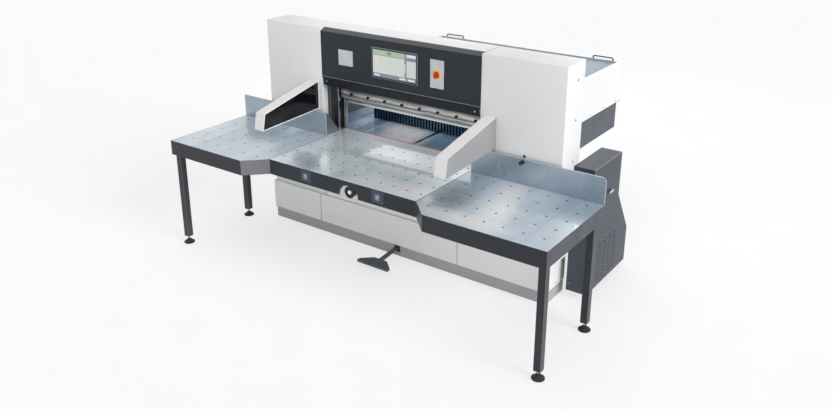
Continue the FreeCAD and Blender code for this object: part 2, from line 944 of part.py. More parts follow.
def monitor_screen():
    across, up = monitor_span(size.monitor_bezel + gap)
    return box("monitor_screen", across, (bezel_back - size.screen_sheet, bezel_back), up)


def button_hole(place):
    return box("button_hole", around(place, size.button_width + gap * 2),
               (bar_front - size.button_plate_sheet - size.past, bar_back + size.past),
               around(button_level, size.button_height + gap * 2))


def control_plates():
    # the square service plate, the switch plate and the plates round the cut buttons
    service_low = fascia_low + size.service_rise
    switch_low = fascia_low + size.switch_rise
    service = box("service_plate", (size.service_left, size.service_left + size.service_width),
                  (column_front - size.service_sheet, column_front - size.seat_gap),
                  (service_low, service_low + size.service_height))
    switch = box("switch_sheet", (size.switch_left, size.switch_left + size.switch_width),
                 (column_front - size.switch_sheet, column_front - size.seat_gap),
                 (switch_low, switch_low + size.switch_height))
    bore = cylinder("switch_bore", "y", (column_front - size.switch_sheet - size.past, column_front),
                    knob_middle, size.knob_shaft / 2 + size.pin_gap)
    plates = [service, cut("switch_plate", switch, bore)]
    for place in (size.left_button_place, size.right_button_place):
        blank = box("button_sheet", around(place, size.button_plate_width),
                    (bar_front - size.button_plate_sheet, bar_front - size.seat_gap),
                    around(button_level, size.button_plate_height))
        plates.append(cut("button_plate", blank, button_hole(place)))
    return group("control_plates", *plates)


def main_switch_knob():
    back = column_front - size.switch_sheet - gap
    face = back - size.knob_disc
    disc = cylinder("knob_disc", "y", (face, back), knob_middle, size.knob_size / 2)
    shaft = cylinder("knob_shaft", "y", (back - size.weld, column_front + size.knob_tail), knob_middle,
                     size.knob_shaft / 2)
    grip = box("knob_grip", around(knob_middle[0], size.grip_width),
               (face - size.grip_height, face + size.weld), around(knob_middle[1], size.knob_size))
    return fuse("main_switch_knob", disc, shaft, grip)


def cut_button(label, place):
    face = bar_front - size.button_plate_sheet - size.button_proud
    return box(label, around(place, size.button_width), (face, bar_back + size.button_tail),
               around(button_level, size.button_height))


def hole_grid(columns, rows):
    return [((x, y), size.air_hole / 2) for x in columns for y in rows]


def front_table():
    # the plate steps out behind the guards and narrows between the front guides
    edge = half_cut - gap
    wide = seam_in - gap
    narrow = guide_start - gap
    shoulder = guard_back + gap
    notch = front_guide_front - gap
    back = -(size.stick_size / 2 + gap)
    right = [(edge, table_front), (edge, shoulder), (wide, shoulder), (wide, notch), (narrow, notch),
             (narrow, back)]
    left = [(-x, y) for x, y in reversed(right)]
    body = extruded("front_table", "XY_Plane", (plate_low, top), [right + left])
    reach = half_cut - size.hole_margin
    half_row = places(size.hole_pitch / 2, size.hole_pitch, reach)
    columns = [-x for x in half_row] + half_row
    rows = places(bar_front + size.first_row, size.row_pitch, -size.first_row)
    pocket(body, "XY_Plane", (plate_low - size.past, top + size.past), circles=hole_grid(columns, rows))
    return body


def front_bar():
    edge = half_cut - gap
    body = extruded("front_bar_blank", "XZ_Plane", (bar_front, bar_back),
                    [rectangle((-edge, edge), (bar_low, top))])
    notch = cylinder("notch", "y", (bar_front - size.past, bar_back + size.past),
                     (size.notch_place, bar_low), size.notch_radius)
    return cut("front_bar", body, notch, button_hole(size.left_button_place),
               button_hole(size.right_button_place))


def table_brackets():
    # ribs that carry the front table out from the girder, the strips beside its
    # rear end and the wheel's bracket
    low = plate_low - size.rib_height
    rib_back = frame_front - gap
    middles = (size.left_button_place - size.rib_offset, size.left_button_place + size.rib_offset,
               size.wheel_place + size.rib_offset, size.right_button_place + size.rib_offset)
    pieces = [box("rib", around(middle, size.rib_width), (table_front, rib_back), (low, plate_low))
              for middle in middles]
    outer = half_cut - gap
    for sign in (-1, 1):
        pieces.append(box("table_side", sided(sign, outer - size.bar_wall, outer),
                          (table_front, guard_back), (low, plate_low)))
        pieces.append(box("seam_strip", sided(sign, seam_in, throat - gap * 2),
                          (guard_back + gap, front_guide_front - gap), (plate_low, top)))
    hanger_front = table_front + size.hanger_setback
    hanger_back = hanger_front + size.hanger_sheet
    hanger = box("wheel_hanger", around(size.wheel_place, size.hanger_width), (hanger_front, hanger_back),
                 (wheel_level - size.hanger_foot, plate_low))
    bore = cylinder("wheel_bore", "y", (hanger_front - size.past, hanger_back + size.past),
                    (size.wheel_place, wheel_level), size.wheel_shaft / 2 + size.pin_gap)
    return group("table_brackets", *pieces, cut("wheel_bracket", hanger, bore))


def handwheel():
    face = bar_front - size.wheel_proud
    back = face + size.wheel_width
    dish = face + size.wheel_dish
    rim = size.wheel_size / 2
    bead = size.wheel_round
    shaft = size.wheel_shaft / 2
    tail = table_front + size.wheel_tail
    profile = [(0, dish), (rim - size.wheel_rim, dish), (rim - size.wheel_rim + bead, face),
               (rim - bead, face), (rim, face + bead), (rim, back - bead), (rim - bead, back),
               (shaft, back), (shaft, tail), (0, tail)]
    return turned("handwheel", (size.wheel_place, wheel_level), profile)


def cutting_stick():
    return box("cutting_stick", (gap - guide_start, guide_start - gap), around(as_size(0), size.stick_size),
               (top - size.stick_height, top))


def rear_tables():
    # two halves with a slot between them for the neck of the gauge's carriage
    front = size.stick_size / 2 + gap
    inner = size.slot_width / 2
    narrow = guide_start - gap
    wide = skirt_half - size.cover_sheet - gap
    back = skirt_end - size.cover_sheet - gap
    outline = [(inner, front), (narrow, front), (narrow, rear_start), (wide, rear_start), (wide, back),
               (inner, back)]
    half_row = places(size.hole_pitch / 2, size.hole_pitch, half_cut - size.hole_margin)
    rows = places(column_back + size.rear_first_row, size.row_pitch, skirt_end - size.first_row)
    pieces = []
    for sign in (-1, 1):
        body = extruded("rear_table_half", "XY_Plane", (plate_low, top),
                        [[(x * sign, y) for x, y in outline]])
        pocket(body, "XY_Plane", (plate_low - size.past, top + size.past),
               circles=hole_grid([x * sign for x in half_row], rows))
        pieces.append(body)
    return group("rear_tables", *pieces)


MITRE = math.tan(math.radians(22.5))


def side_end(side):
    return right_end if side > 0 else -left_end


def side_outline(side, inset):
    # a side table seen from above, drawn in by inset; its inner front corner is cut at 45 degrees
    outer = side_end(side)
    seam = half_cut + inset
    bend = half_cut + size.side_step + inset * MITRE
    points = [(seam, bar_front + inset * MITRE), (bend, side_front + inset),
              (outer - inset, side_front + inset), (outer - inset, guard_back - inset),
              (seam, guard_back - inset)]
    return [(x * side, y) for x, y in points]


def side_table_plate(label, side, margin, pitch):
    body = extruded(label, "XY_Plane", (plate_low, top), [side_outline(side, size.bar_wall + gap)])
    # columns are counted from the outer end inwards, as distances from that end
    inwards = places(margin, pitch, side_end(side) - half_cut - size.inner_hole_margin)
    columns = [(side_end(side) - distance) * side for distance in inwards]
    rows = places(side_front + size.side_row_margin, size.side_row_pitch, guard_back - size.side_row_end)
    pocket(body, "XY_Plane", (plate_low - size.past, top + size.past), circles=hole_grid(columns, rows))
    return body


def leg_corners(side):
    # the legs stand at the outer corners of the tables, the left ones drawn in a little
    outer = side_end(side) - (size.left_leg_inset if side < 0 else 0)
    front = side_front + gap
    rear = guard_back - size.rear_leg_inset
    return (outer - size.leg_size, outer), (front, front + size.leg_size), (rear - size.leg_size, rear)


def side_table_frame(label, side):
    # a deep rim, two bearers under the plate and two square legs, welded up
    body = extruded(label, "XY_Plane", (bar_low, top), [side_outline(side, as_size(0))])
    pocket(body, "XY_Plane", (bar_low - size.past, top + size.past), [side_outline(side, size.bar_wall)])
    along = (side_front + size.weld, guard_back - size.weld)
    for share in (1 / 3, 2 / 3):
        middle = half_cut + (side_end(side) - half_cut) * share
        across = sided(side, *around(middle, size.bearer_width))
        pad(body, "XY_Plane", (bar_low + size.bearer_rise, plate_low), [rectangle(across, along)])
    leg, front, rear = leg_corners(side)
    across = sided(side, *leg)
    pad(body, "XY_Plane", (bar_low + size.leg_rail_rise, plate_low), [rectangle(across, along)])
    for span in (front, rear):
        pad(body, "XY_Plane", (size.foot_height, plate_low), [rectangle(across, span)])
    return body


def levelling_foot(x, y):
    stem = size.foot_stem / 2
    base = cylinder("foot_base", "z", (0, size.foot_base), (x, y), size.foot_disc / 2)
    crown = doc.addObject("Part::Cone", "foot_crown")
    bind(crown, "Radius1", size.foot_disc / 2)
    bind(crown, "Radius2", stem + size.foot_collar)
    bind(crown, "Height", size.foot_crown)
    for axis, amount in (("x", x), ("y", y), ("z", size.foot_base)):
        bind(crown, "Placement.Base." + axis, amount)
    spindle = cylinder("foot_spindle", "z", (size.foot_base / 2, size.foot_height - size.seat_gap),
                       (x, y), stem)
    return fuse("foot", base, crown, spindle)


def levelling_feet():
    feet = []
    for side in (-1, 1):
        leg, front, rear = leg_corners(side)
        for span in (front, rear):
            feet.append(levelling_foot((leg[0] + leg[1]) / 2 * side, (span[0] + span[1]) / 2))
    return group("levelling_feet", *feet)


def gusset(side):
    # the guard's short return along the table seam, with its top edge running down
    back = front_guide_front - size.gusset_gap
    profile = [(guard_front, guard_low), (back, guard_low), (back, guard_low + size.gusset_foot),
               (guard_front + size.gusset_crown, guard_high), (guard_front, guard_high)]
    return extruded("gusset", "YZ_Plane", sided(side, seam_in, seam_in + size.guard_sheet), [profile])


def left_guard():
    back = box("left_guard_sheet", (left_end, -(seam_in + size.guard_sheet)), (guard_front, guard_back),
               (guard_low, guard_high))
    return fuse("left_guard", back, gusset(-1))


def right_guard():
    # three sheets side by side; the last has a rounded upper corner
    depth = (guard_front, guard_back)
    up = (guard_low, guard_high)
    first = fuse("guard_first", box("guard_first_sheet", (seam_in + size.guard_sheet, guard_seams[0] - gap),
                                    depth, up), gusset(1))
    second = extruded("guard_second", "XZ_Plane", depth,
                      [rectangle((guard_seams[0] + gap, guard_seams[1] - gap), up)])
    pocket(second, "XZ_Plane", (guard_front - size.past, guard_back + size.past),
           circles=[(thumb_middle, size.thumb_shank / 2 + size.pin_gap)])
    third = extruded("guard_third", "XZ_Plane", depth, [rectangle((guard_seams[1] + gap, right_end), up)])
    near = size.guard_sheet.value / 2
    corner = [f"Edge{number}" for number, edge in enumerate(third.Shape.Edges, start=1)
              if edge.BoundBox.XMin > right_end.value - near and edge.BoundBox.ZMin > guard_high.value - near]
    sheet_pad = third.Tip
    fillet = third.newObject("PartDesign::Fillet", "guard_round")
    fillet.Base = (sheet_pad, corner)
    bind(fillet, "Radius", size.guard_corner)
    doc.recompute()
    return group("right_guard", first, second, third)


def guard_knob():
    # a thumb screw that clamps the guard to the column
    back = guard_front - gap
    face = back - size.thumb_length
    rim = size.thumb_size / 2
    bead = size.thumb_round
    shank = size.thumb_shank / 2
    tip = column_front - gap
    profile = [(0, face), (rim - bead, face), (rim, face + bead), (rim, back - bead),
               (size.thumb_neck / 2, back), (shank, back), (shank, tip), (0, tip)]
    return turned("guard_knob", thumb_middle, profile)


def arm_outline(inset):
    # the arm narrows and falls towards its tip; the slope of its upper edge draws in further
    fall = (arm_root_high - arm_tip_high) / (size.arm_reach - size.arm_nose)
    slope = root_of(fall * fall + 1)
    return [(arm_root - inset, arm_root_high - inset * (slope + fall)),
            (arm_root - inset, arm_root_low + inset), (arm_tip + inset, arm_tip_low + inset),
            (arm_tip + size.arm_nose + inset, arm_tip_high - inset * (slope - fall))]


def arm_housings():
    arms = []
    for sign in (-1, 1):
        body = extruded("arm", "YZ_Plane", sided(sign, arm_in, arm_out), [arm_outline(as_size(0))])
        pocket(body, "YZ_Plane", sided(sign, arm_in, arm_out - size.cover_sheet), [arm_outline(size.arm_rim)])
        arms.append(body)
    return group("arm_housings", *arms)


def light_curtain_windows():
    face = arm_in + size.pane_setback
    panes = [extruded("pane", "YZ_Plane", sided(sign, face, face + size.pane_sheet),
                      [arm_outline(size.arm_rim + gap)]) for sign in (-1, 1)]
    return group("light_curtain_windows", *panes)


def clamp_beam():
    # runs between the rear guides, with an ear at each end that takes a pull rod
    half = guide_start - size.slide_gap * 2
    ear_end = throat - size.slide_gap * 4
    ear_low = clamp_top - size.clamp_ear_height
    ear_front = clamp_front + size.guide_depth + size.slide_gap
    body = extruded("clamp_beam", "XZ_Plane", (clamp_front, clamp_back),
                    [rectangle((-half, half), (clamp_low, clamp_top))])
    pad(body, "XZ_Plane", (ear_front, clamp_back - gap),
        [rectangle((-ear_end, ear_end), (ear_low, clamp_top))])
    pocket(body, "XY_Plane", (ear_low - size.past, clamp_top - size.rod_cap),
           circles=[((rod_place * sign, rod_centre), size.clamp_rod / 2 + size.pin_gap) for sign in (-1, 1)])
    return body


def clamp_yoke():
    # crosshead under the girder with its two pull rods and the piston rod
    half = throat - size.slide_gap * 2
    sunk = yoke_top - size.yoke_height / 2
    crosshead = box("yoke_bar", (-half, half), (rod_centre - size.yoke_reach, inner_back - size.slide_gap),
                    (yoke_low, yoke_top))
    rods = [cylinder("pull_rod", "z", (sunk, clamp_top - size.rod_cap - gap), (rod_place * sign, rod_centre),
                     size.clamp_rod / 2) for sign in (-1, 1)]
    piston = cylinder("yoke_piston", "z", (barrel_top - size.piston_hold, sunk), (0, barrel_middle),
                      size.clamp_piston / 2)
    return fuse("clamp_yoke", crosshead, piston, *rods)


def along_path(distance):
    # how far a point that lies distance up the knife's slanting path stands aside and above its foot
    return size.knife_side_shift / knife_path * distance, knife_drop / knife_path * distance


def knife_foot(sign):
    # where a knife piston leaves its lug, with the knife at rest
    return (cylinder_spread * sign + knife_middle, -size.cylinder_offset,
            carrier_low + size.lug_rise + size.lug_height)


def slanted(label, sign, start, end, radius):
    # a cylinder along the knife's slanting path, from start to end above a piston's foot
    item = doc.addObject("Part::Cylinder", label)
    item.Placement = FreeCAD.Placement(FreeCAD.Vector(), FreeCAD.Rotation(FreeCAD.Vector(0, 1, 0), 1))
    bind(item, "Radius", radius)
    bind(item, "Height", as_size(end) - start)
    item.setExpression("Placement.Rotation.Angle", f"atan({size.knife_side_shift.text} / {knife_drop.text})")
    x, y, z = knife_foot(sign)
    aside, above = along_path(as_size(start))
    for axis, amount in (("x", x + aside), ("y", y), ("z", z + above)):
        bind(item, "Placement.Base." + axis, amount)
    return item


def clamp_unit():
    # the clamp's cylinder on its foot
    middle = (0, barrel_middle)
    radius = size.clamp_barrel / 2
    barrel = cylinder("clamp_barrel", "z", (unit_low, barrel_top), middle, radius)
    foot = box("clamp_cylinder_foot", around(as_size(0), size.barrel_foot_width),
               around(barrel_middle, (radius + size.barrel_foot_edge) * 2),
               (unit_low, unit_low + size.barrel_foot))
    bore = cylinder("clamp_bore", "z", (unit_low + size.barrel_floor, barrel_top + size.past), middle,
                    size.clamp_piston / 2 + size.bore_gap)
    return cut("clamp_unit", fuse("clamp_unit_blank", barrel, foot), bore)


def knife_unit(sign):
    # a knife cylinder, open towards its lug
    barrel = slanted("knife_barrel", sign, size.barrel_start, barrel_end, size.cylinder_size / 2)
    bore = slanted("knife_bore", sign, size.barrel_start - size.past, barrel_end - size.barrel_cap,
                   size.piston_size / 2 + size.bore_gap)
    return cut("knife_unit", barrel, bore)


def hydraulic_cylinders():
    return group("hydraulic_cylinders", clamp_unit(), knife_unit(-1), knife_unit(1))


def knife_pistons():
    seat = size.lug_floor - size.lug_height + size.slide_gap
    head = barrel_end - size.barrel_cap - size.piston_play
    rods = [slanted("knife_rod", sign, seat, head, size.piston_size / 2) for sign in (-1, 1)]
    return group("knife_pistons", *rods)


def bolt_circles():
    half_row = places(size.bolt_pitch / 2, size.bolt_pitch, knife_half - size.bolt_end)
    radius = size.knife_bolt / 2 + size.pin_gap
    return [((knife_middle + x * sign, bolt_level), radius) for sign in (-1, 1) for x in half_row]


def knife_carrier():
    # the plate behind which the knife is bolted, with a lug for each piston
    body = extruded("knife_carrier_plate", "XZ_Plane", (carrier_front, carrier_back),
                    [rectangle(knife_span, (carrier_low, carrier_top))])
    pocket(body, "XZ_Plane", (carrier_front - size.past, carrier_back + size.past), circles=bolt_circles())
    lugs, bores = [], []
    for sign in (-1, 1):
        x, y, z = knife_foot(sign)
        lugs.append(box("lug", around(x, size.lug_width), (y - size.lug_width / 2, carrier_front + size.weld),
                        (z - size.lug_height, z)))
        bores.append(slanted("lug_bore", sign, size.lug_floor - size.lug_height, size.barrel_start,
                             size.piston_size / 2 + size.pin_gap))
    return cut("knife_carrier", fuse("carrier_blank", body, *lugs), *bores)


def knife_blade():
    thick = size.knife_thickness
    high = knife_edge + size.knife_height
    profile = [(0, knife_edge), (0, high), (-thick, high), (-thick, knife_edge + size.bevel_height)]
    body = extruded("knife_blade", "YZ_Plane", knife_span, [profile])
    pocket(body, "XZ_Plane", (-thick - size.past, -size.bolt_stop + gap), circles=bolt_circles())
    return body


def knife_bolts():
    seat = carrier_front - gap
    bolts = []
    for middle, hole in bolt_circles():
        head = cylinder("bolt_head", "y", (seat - size.bolt_head_height, seat), middle, size.bolt_head / 2)
        shank = cylinder("bolt_shank", "y", (seat - size.weld, -size.bolt_stop), middle, size.knife_bolt / 2)
        bolts.append(fuse("bolt", head, shank))
    return group("knife_bolts", *bolts)


def back_gauge():
    low = top + size.slide_gap
    body = extruded("back_gauge", "XZ_Plane", (gauge_plate_front, gauge_plate_back),
                    [rectangle((-gauge_half, gauge_half), (low, gauge_top))])
    first_rib = (-gauge_half, size.gauge_rib_width - gauge_half)
    rib = pad(body, "XY_Plane", (low, gauge_top),
              [rectangle(first_rib, (size.gauge_rest, gauge_plate_front))])
    copies = len(places(0, size.gauge_rib_pitch, gauge_half * 2 - size.gauge_rib_width))
    repeat(body, rib, "X_Axis", size.gauge_rib_pitch, copies)
    return body


def track_bores():
    # the screw's hole and one for each rail beside it
    bores = [((0, screw_level), size.screw_size / 2 + size.pin_gap)]
    for sign in (-1, 1):
        bores.append(((size.rail_spread * sign, screw_level), size.rail_size / 2 + size.pin_gap))
    return bores


def gauge_carriage():
    # a slide on screw and rails, whose neck rises through the slot to the gauge
    half = size.carriage_width / 2
    high = screw_level + size.carriage_rise
    body = extruded("gauge_carriage", "XY_Plane", (screw_level - size.carriage_drop, high),
                    [rectangle((-half, half), (carriage_front, carriage_back))])
    neck = size.slot_width / 2 - size.neck_play
    joint = gauge_plate_back + gap
    shoulder = top + size.slide_gap
    neck_high = gauge_top - size.neck_shelf
    pad(body, "YZ_Plane", (-neck, neck),
        [[(carriage_front, high - size.weld), (carriage_back, high - size.weld),
          (carriage_back, top + size.neck_shelf), (gauge_plate_back + size.neck_top, neck_high),
          (joint, neck_high), (joint, shoulder), (carriage_front, shoulder)]])
    pocket(body, "XZ_Plane", (carriage_front - size.past, carriage_back + size.past), circles=track_bores())
    return body


track_span = (track_front + size.bearing_cap, track_end + size.bearing_depth - size.bearing_cap)


def lead_screw():
    return cylinder("lead_screw", "y", track_span, (0, screw_level), size.screw_size / 2)


def gauge_track():
    # two rails and the end blocks that hold them and let the screw turn
    pieces = [cylinder("rail", "y", track_span, (size.rail_spread * sign, screw_level), size.rail_size / 2)
              for sign in (-1, 1)]
    up = (screw_level - size.bearing_drop, plate_low - gap)
    for start in (track_front, track_end):
        end = start + size.bearing_depth
        block = extruded("screw_bearing", "XZ_Plane", (start, end),
                         [rectangle((-bearing_half, bearing_half), up)])
        pocket(block, "XZ_Plane", (start - size.past, end + size.past), circles=track_bores())
        pieces.append(block)
    return group("gauge_track", *pieces)


def gauge_motor():
    # a servo motor beside the screw, bolted to the rear bearing block
    back = track_end + size.bearing_depth
    middle = size.motor_place
    flange = box("motor_flange",
                 (bearing_half + gap, middle + size.motor_size / 2 + size.motor_flange_margin),
                 (back - size.motor_flange, back), around(screw_level, size.motor_size))
    can = box("motor_can", around(middle, size.motor_size),
              (back - size.motor_length, back - size.motor_flange + size.weld),
              around(screw_level, size.motor_size - size.slide_gap * 4))
    return fuse("gauge_motor", flange, can)


def rear_skirt():
    # the grey tray below the rear table, open to the front, with an outward flange on top
    wall = size.cover_sheet
    inside = skirt_half - wall
    ledge_low = plate_low - size.ledge_height
    outer = box("skirt_outer", (-skirt_half, skirt_half), (rear_start, skirt_end),
                (skirt_low, skirt_top - size.weld))
    flange = box("skirt_flange", (-wall_half, wall_half), (rear_start, size.rear_end),
                 (skirt_top - wall, skirt_top))
    hollow = box("skirt_hollow", (-inside, inside), (rear_start - size.past, skirt_end - wall),
                 (skirt_low - size.past, skirt_top + size.past))
    ring = cut("skirt_ring", fuse("skirt_blank", outer, flange), hollow)
    pedestal_back = size.pedestal_place + size.pedestal_depth
    floor = box("skirt_floor", (size.weld - skirt_half, skirt_half - size.weld),
                (size.pedestal_place - size.tray_margin, pedestal_back + size.tray_margin),
                (skirt_low, skirt_low + size.tray_floor))
    ledges = [box("skirt_ledge", sided(sign, inside - size.ledge_width, inside + size.weld),
                  (rear_start + size.past, skirt_end - size.weld), (ledge_low, plate_low))
              for sign in (-1, 1)]
    ledges.append(box("skirt_back_ledge", (size.weld - skirt_half, skirt_half - size.weld),
                      (skirt_end - wall - size.ledge_height, skirt_end - size.weld),
                      (ledge_low - size.back_ledge_drop, plate_low)))
    hinge_y, hinge_z = rear_hinge
    ears = [box("rear_ear", sided(sign, rear_ear - size.rear_ear_width, rear_ear),
                (hinge_y - knuckle, hinge_y + knuckle), (skirt_top - size.weld, hinge_z + knuckle))
            for sign in (-1, 1)]
    bore = cylinder("rear_bore", "x", (-wall_half, wall_half), rear_hinge, pin_bore)
    return cut("rear_skirt", fuse("skirt_whole", ring, floor, *ledges, *ears), bore)


def rear_side_walls():
    wall = size.cover_sheet
    back = size.rear_end - wall
    lip = wall_half - size.wall_lip
    profile = [(wall_half, wall_low), (wall_half, wall_top), (lip, wall_top), (lip, wall_top - wall),
               (wall_half - wall, wall_top - wall), (wall_half - wall, wall_low)]
    walls = []
    for sign in (-1, 1):
        body = extruded("rear_side_wall", "XZ_Plane", (rear_start, back - size.wall_joint),
                        [[(x * sign, z) for x, z in profile]])
        notch = box("lip_notch", (-wall_half - size.past, wall_half + size.past),
                    (size.rear_end - size.wall_lip - gap, back),
                    (wall_top - wall - size.weld, wall_top + size.past))
        walls.append(cut("rear_side", body, notch))
    return group("rear_side_walls", *walls)


def rear_wall():
    # hinged along its foot between the tray's two ears
    wall = size.cover_sheet
    side = rear_ear - size.rear_ear_width - gap
    back = size.rear_end
    low = rear_hinge[1]
    profile = [(back - wall, low), (back - wall, wall_top - wall), (back - size.wall_lip, wall_top - wall),
               (back - size.wall_lip, wall_top), (back, wall_top), (back, low)]
    leaf = extruded("rear_leaf", "YZ_Plane", (-side, side), [profile])
    barrel = cylinder("rear_knuckle", "x", (-side, side), rear_hinge, knuckle)
    bore = cylinder("rear_wall_bore", "x", (-wall_half, wall_half), rear_hinge, pin_bore)
    return cut("rear_wall", fuse("rear_wall_blank", leaf, barrel), bore)


def rear_handles():
    # two bails standing on the rear wall's upper lip
    handles = []
    bar_radius, leg_radius = size.handle_bar / 2, size.handle_leg / 2
    y = size.rear_end - size.wall_lip / 2
    level = wall_top + size.handle_rise - bar_radius
    for sign in (-1, 1):
        middle = (wall_half - size.handle_inset) * sign
        left, right = around(middle, size.handle_length)
        bar = cylinder("handle_bar", "x", (left - bar_radius, right + bar_radius), (y, level), bar_radius)
        legs = [cylinder("handle_leg", "z", (wall_top + size.seat_gap, level), (x, y), leg_radius)
                for x in (left, right)]
        handles.append(fuse("handle", bar, *legs))
    return group("rear_handles", *handles)


def rear_pedestal():
    # a sheet box under the tray, on a foot with a hole for an anchor at each corner
    wall, edge, inset = size.pedestal_sheet, size.pedestal_margin, size.anchor_inset
    half = size.pedestal_width / 2
    front, back = size.pedestal_place, size.pedestal_place + size.pedestal_depth
    high = skirt_low - size.seat_gap
    shell = box("pedestal_shell", (-half, half), (front, back), (0, high))
    hollow = box("pedestal_hollow", (wall - half, half - wall), (front + wall, back - wall),
                 (-size.past, high - wall))
    foot = box("pedestal_foot", (-half - edge, half + edge), (front - edge, back + edge),
               (0, size.pedestal_foot))
    anchors = [cylinder("anchor_hole", "z", (-size.past, size.pedestal_foot + size.past), (x, y),
                        size.anchor_hole / 2)
               for x in (-half - inset, half + inset) for y in (front - inset, back + inset)]
    drilled = cut("pedestal_floor", foot, *anchors)
    return cut("rear_pedestal", fuse("pedestal_blank", shell, drilled), hollow)


def cabinet_outline(inset):
    # seen from the side: a deep lower half, a slope and a shallower upper half
    front = size.cabinet_front + inset
    upper = size.cabinet_front + size.cabinet_upper_depth
    lower = cabinet_back
    run, rise = lower - upper, size.cabinet_step_top - size.cabinet_step_low
    slope = root_of(run * run + rise * rise)
    drawn_in = inset * (slope - run) / rise
    return [(front, size.cabinet_low + inset), (lower - inset, size.cabinet_low + inset),
            (lower - inset, size.cabinet_step_low - inset * (slope - rise) / run),
            (upper - drawn_in, size.cabinet_step_top), (upper - drawn_in, size.cabinet_top - inset),
            (front, size.cabinet_top - inset)]


def cabinet_body():
    wall = size.cabinet_sheet
    hinge_x, hinge_y = cabinet_hinge
    body = extruded("cabinet_shell", "YZ_Plane", (cabinet_in, door_in - gap), [cabinet_outline(as_size(0))])
    pocket(body, "YZ_Plane", (cabinet_in + wall, door_in + size.past), [cabinet_outline(wall)])
    pocket(body, "XZ_Plane", (cabinet_back - wall - size.past, cabinet_back + size.past),
           circles=[((cabinet_in + size.cabinet_width / 2, size.gland_level), size.gland_neck / 2 + gap)])
    ears, bores = [], []
    for low in cabinet_knuckles:
        high = low + size.knuckle_height
        for start, end in ((low - size.hinge_ear, low - gap), (high + gap, high + size.hinge_ear)):
            ears.append(box("cabinet_ear", (cabinet_out - size.hinge_lap, hinge_x + knuckle),
                            (hinge_y - knuckle, size.cabinet_front + size.weld), (start, end)))
        bores.append(cylinder("cabinet_ear_bore", "z", (low - size.hinge_ear - size.past,
                                                         high + size.hinge_ear + size.past),
                              cabinet_hinge, pin_bore))
    trim = box("ear_trim", (door_in - gap, hinge_x + knuckle + size.past),
               (size.cabinet_front - gap, size.cabinet_front + size.past),
               (size.cabinet_low, size.cabinet_top))
    return cut("cabinet_body", fuse("cabinet_blank", body, *ears), trim, *bores)


def cabinet_door():
    hinge_x, hinge_y = cabinet_hinge
    body = extruded("cabinet_leaf", "YZ_Plane", (door_in, cabinet_out), [cabinet_outline(as_size(0))])
    through = (door_in - size.past, cabinet_out + size.past)
    level = size.cabinet_low + size.louvre_rise
    slots = []
    for number in range(SIZES["louvre_columns"]):
        start = size.cabinet_front + size.louvre_start + size.louvre_step * number
        slots.append(rectangle((start, start + size.louvre_width), (level, level + size.louvre_slot)))
    row = pocket(body, "YZ_Plane", through, slots)
    repeat(body, row, "Z_Axis", size.louvre_pitch, SIZES["louvre_rows"])
    pocket(body, "YZ_Plane", through,
           circles=[((size.latch_place, size.latch_level), size.latch_spindle / 2 + size.pin_gap)])
    knuckles, bores = [], []
    for low in cabinet_knuckles:
        high = low + size.knuckle_height
        knuckles.append(box("door_knuckle", (door_in, hinge_x + knuckle),
                            (hinge_y - knuckle, size.cabinet_front + size.weld), (low, high)))
        bores.append(cylinder("door_bore", "z", (low - size.past, high + size.past), cabinet_hinge, pin_bore))
    return cut("cabinet_door", fuse("cabinet_door_blank", body, *knuckles), *bores)


def cabinet_latch():
    # a swing handle outside, turning a tongue behind the door
    middle = (size.latch_place, size.latch_level)
    face = cabinet_out + gap
    crown = face + size.latch_rose_height
    tongue_back = door_in - size.tongue_setback
    lever_out = crown + size.latch_heel
    rose = cylinder("latch_rose", "x", (face, crown), middle, size.latch_rose / 2)
    spindle = cylinder("latch_spindle", "x", (tongue_back - size.tongue_setback, crown + size.past), middle,
                       size.latch_spindle / 2)
    lever = box("latch_lever", (crown + size.weld, lever_out),
                (middle[0] - size.latch_reach, middle[0] + size.latch_heel),
                around(middle[1], size.latch_grip))
    tongue = box("latch_tongue", (tongue_back - size.tongue_sheet, tongue_back),
                 around(middle[0], size.latch_heel * 2),
                 (middle[1] - size.latch_heel, middle[1] + size.tongue_length))
    return fuse("cabinet_latch", rose, spindle, lever, tongue)


def cable_gland():
    middle = (cabinet_in + size.cabinet_width / 2, size.gland_level)
    collar_end = cabinet_back + size.gland_length
    neck_start = cabinet_back - size.gland_depth
    collar = cylinder("gland_collar", "y", (cabinet_back + size.seat_gap, collar_end), middle,
                      size.gland_size / 2)
    neck = cylinder("gland_neck", "y", (neck_start, cabinet_back + size.weld), middle, size.gland_neck / 2)
    bore = cylinder("gland_bore", "y", (neck_start - size.past, collar_end + size.past), middle,
                    size.gland_bore / 2)
    return cut("cable_gland", fuse("gland_blank", collar, neck), bore)


def foot_pedal():
    # an arm on a cross pin, sloping down to a wide tapered tread
    half = size.pedal_arm / 2
    pivot_y, pivot_z = pedal_pivot
    tip = -size.pedal_reach
    tread_back = tip + size.tread_depth
    tread_high = size.tread_level + size.tread_lip
    tread_low = tread_high - size.tread_sheet
    arm_end = tread_back - size.pedal_eye / 2
    arm = extruded("pedal_lever", "YZ_Plane", (-half, half),
                   [[(pivot_y + size.pedal_pin, pivot_z - size.pedal_pin / 2),
                     (pivot_y + size.pedal_pin, pivot_z + size.pedal_pin / 2),
                     (arm_end, tread_high - size.weld), (arm_end, tread_low)]])
    wide, short = size.tread_width / 2, size.tread_neck / 2
    outline = [(-wide, tip), (wide, tip), (wide, tip + size.tread_front), (short, tread_back),
               (-short, tread_back), (-wide, tip + size.tread_front)]
    tread = extruded("pedal_tread", "XY_Plane", (tread_low, tread_high), [outline])
    eye = cylinder("pedal_eye", "x", (-half, half), pedal_pivot, size.pedal_eye / 2)
    pin_end = half + size.pedal_cheek
    pin = cylinder("pedal_pin", "x", (-pin_end, pin_end), pedal_pivot, size.pedal_pin / 2)
    return fuse("foot_pedal", arm, tread, eye, pin)


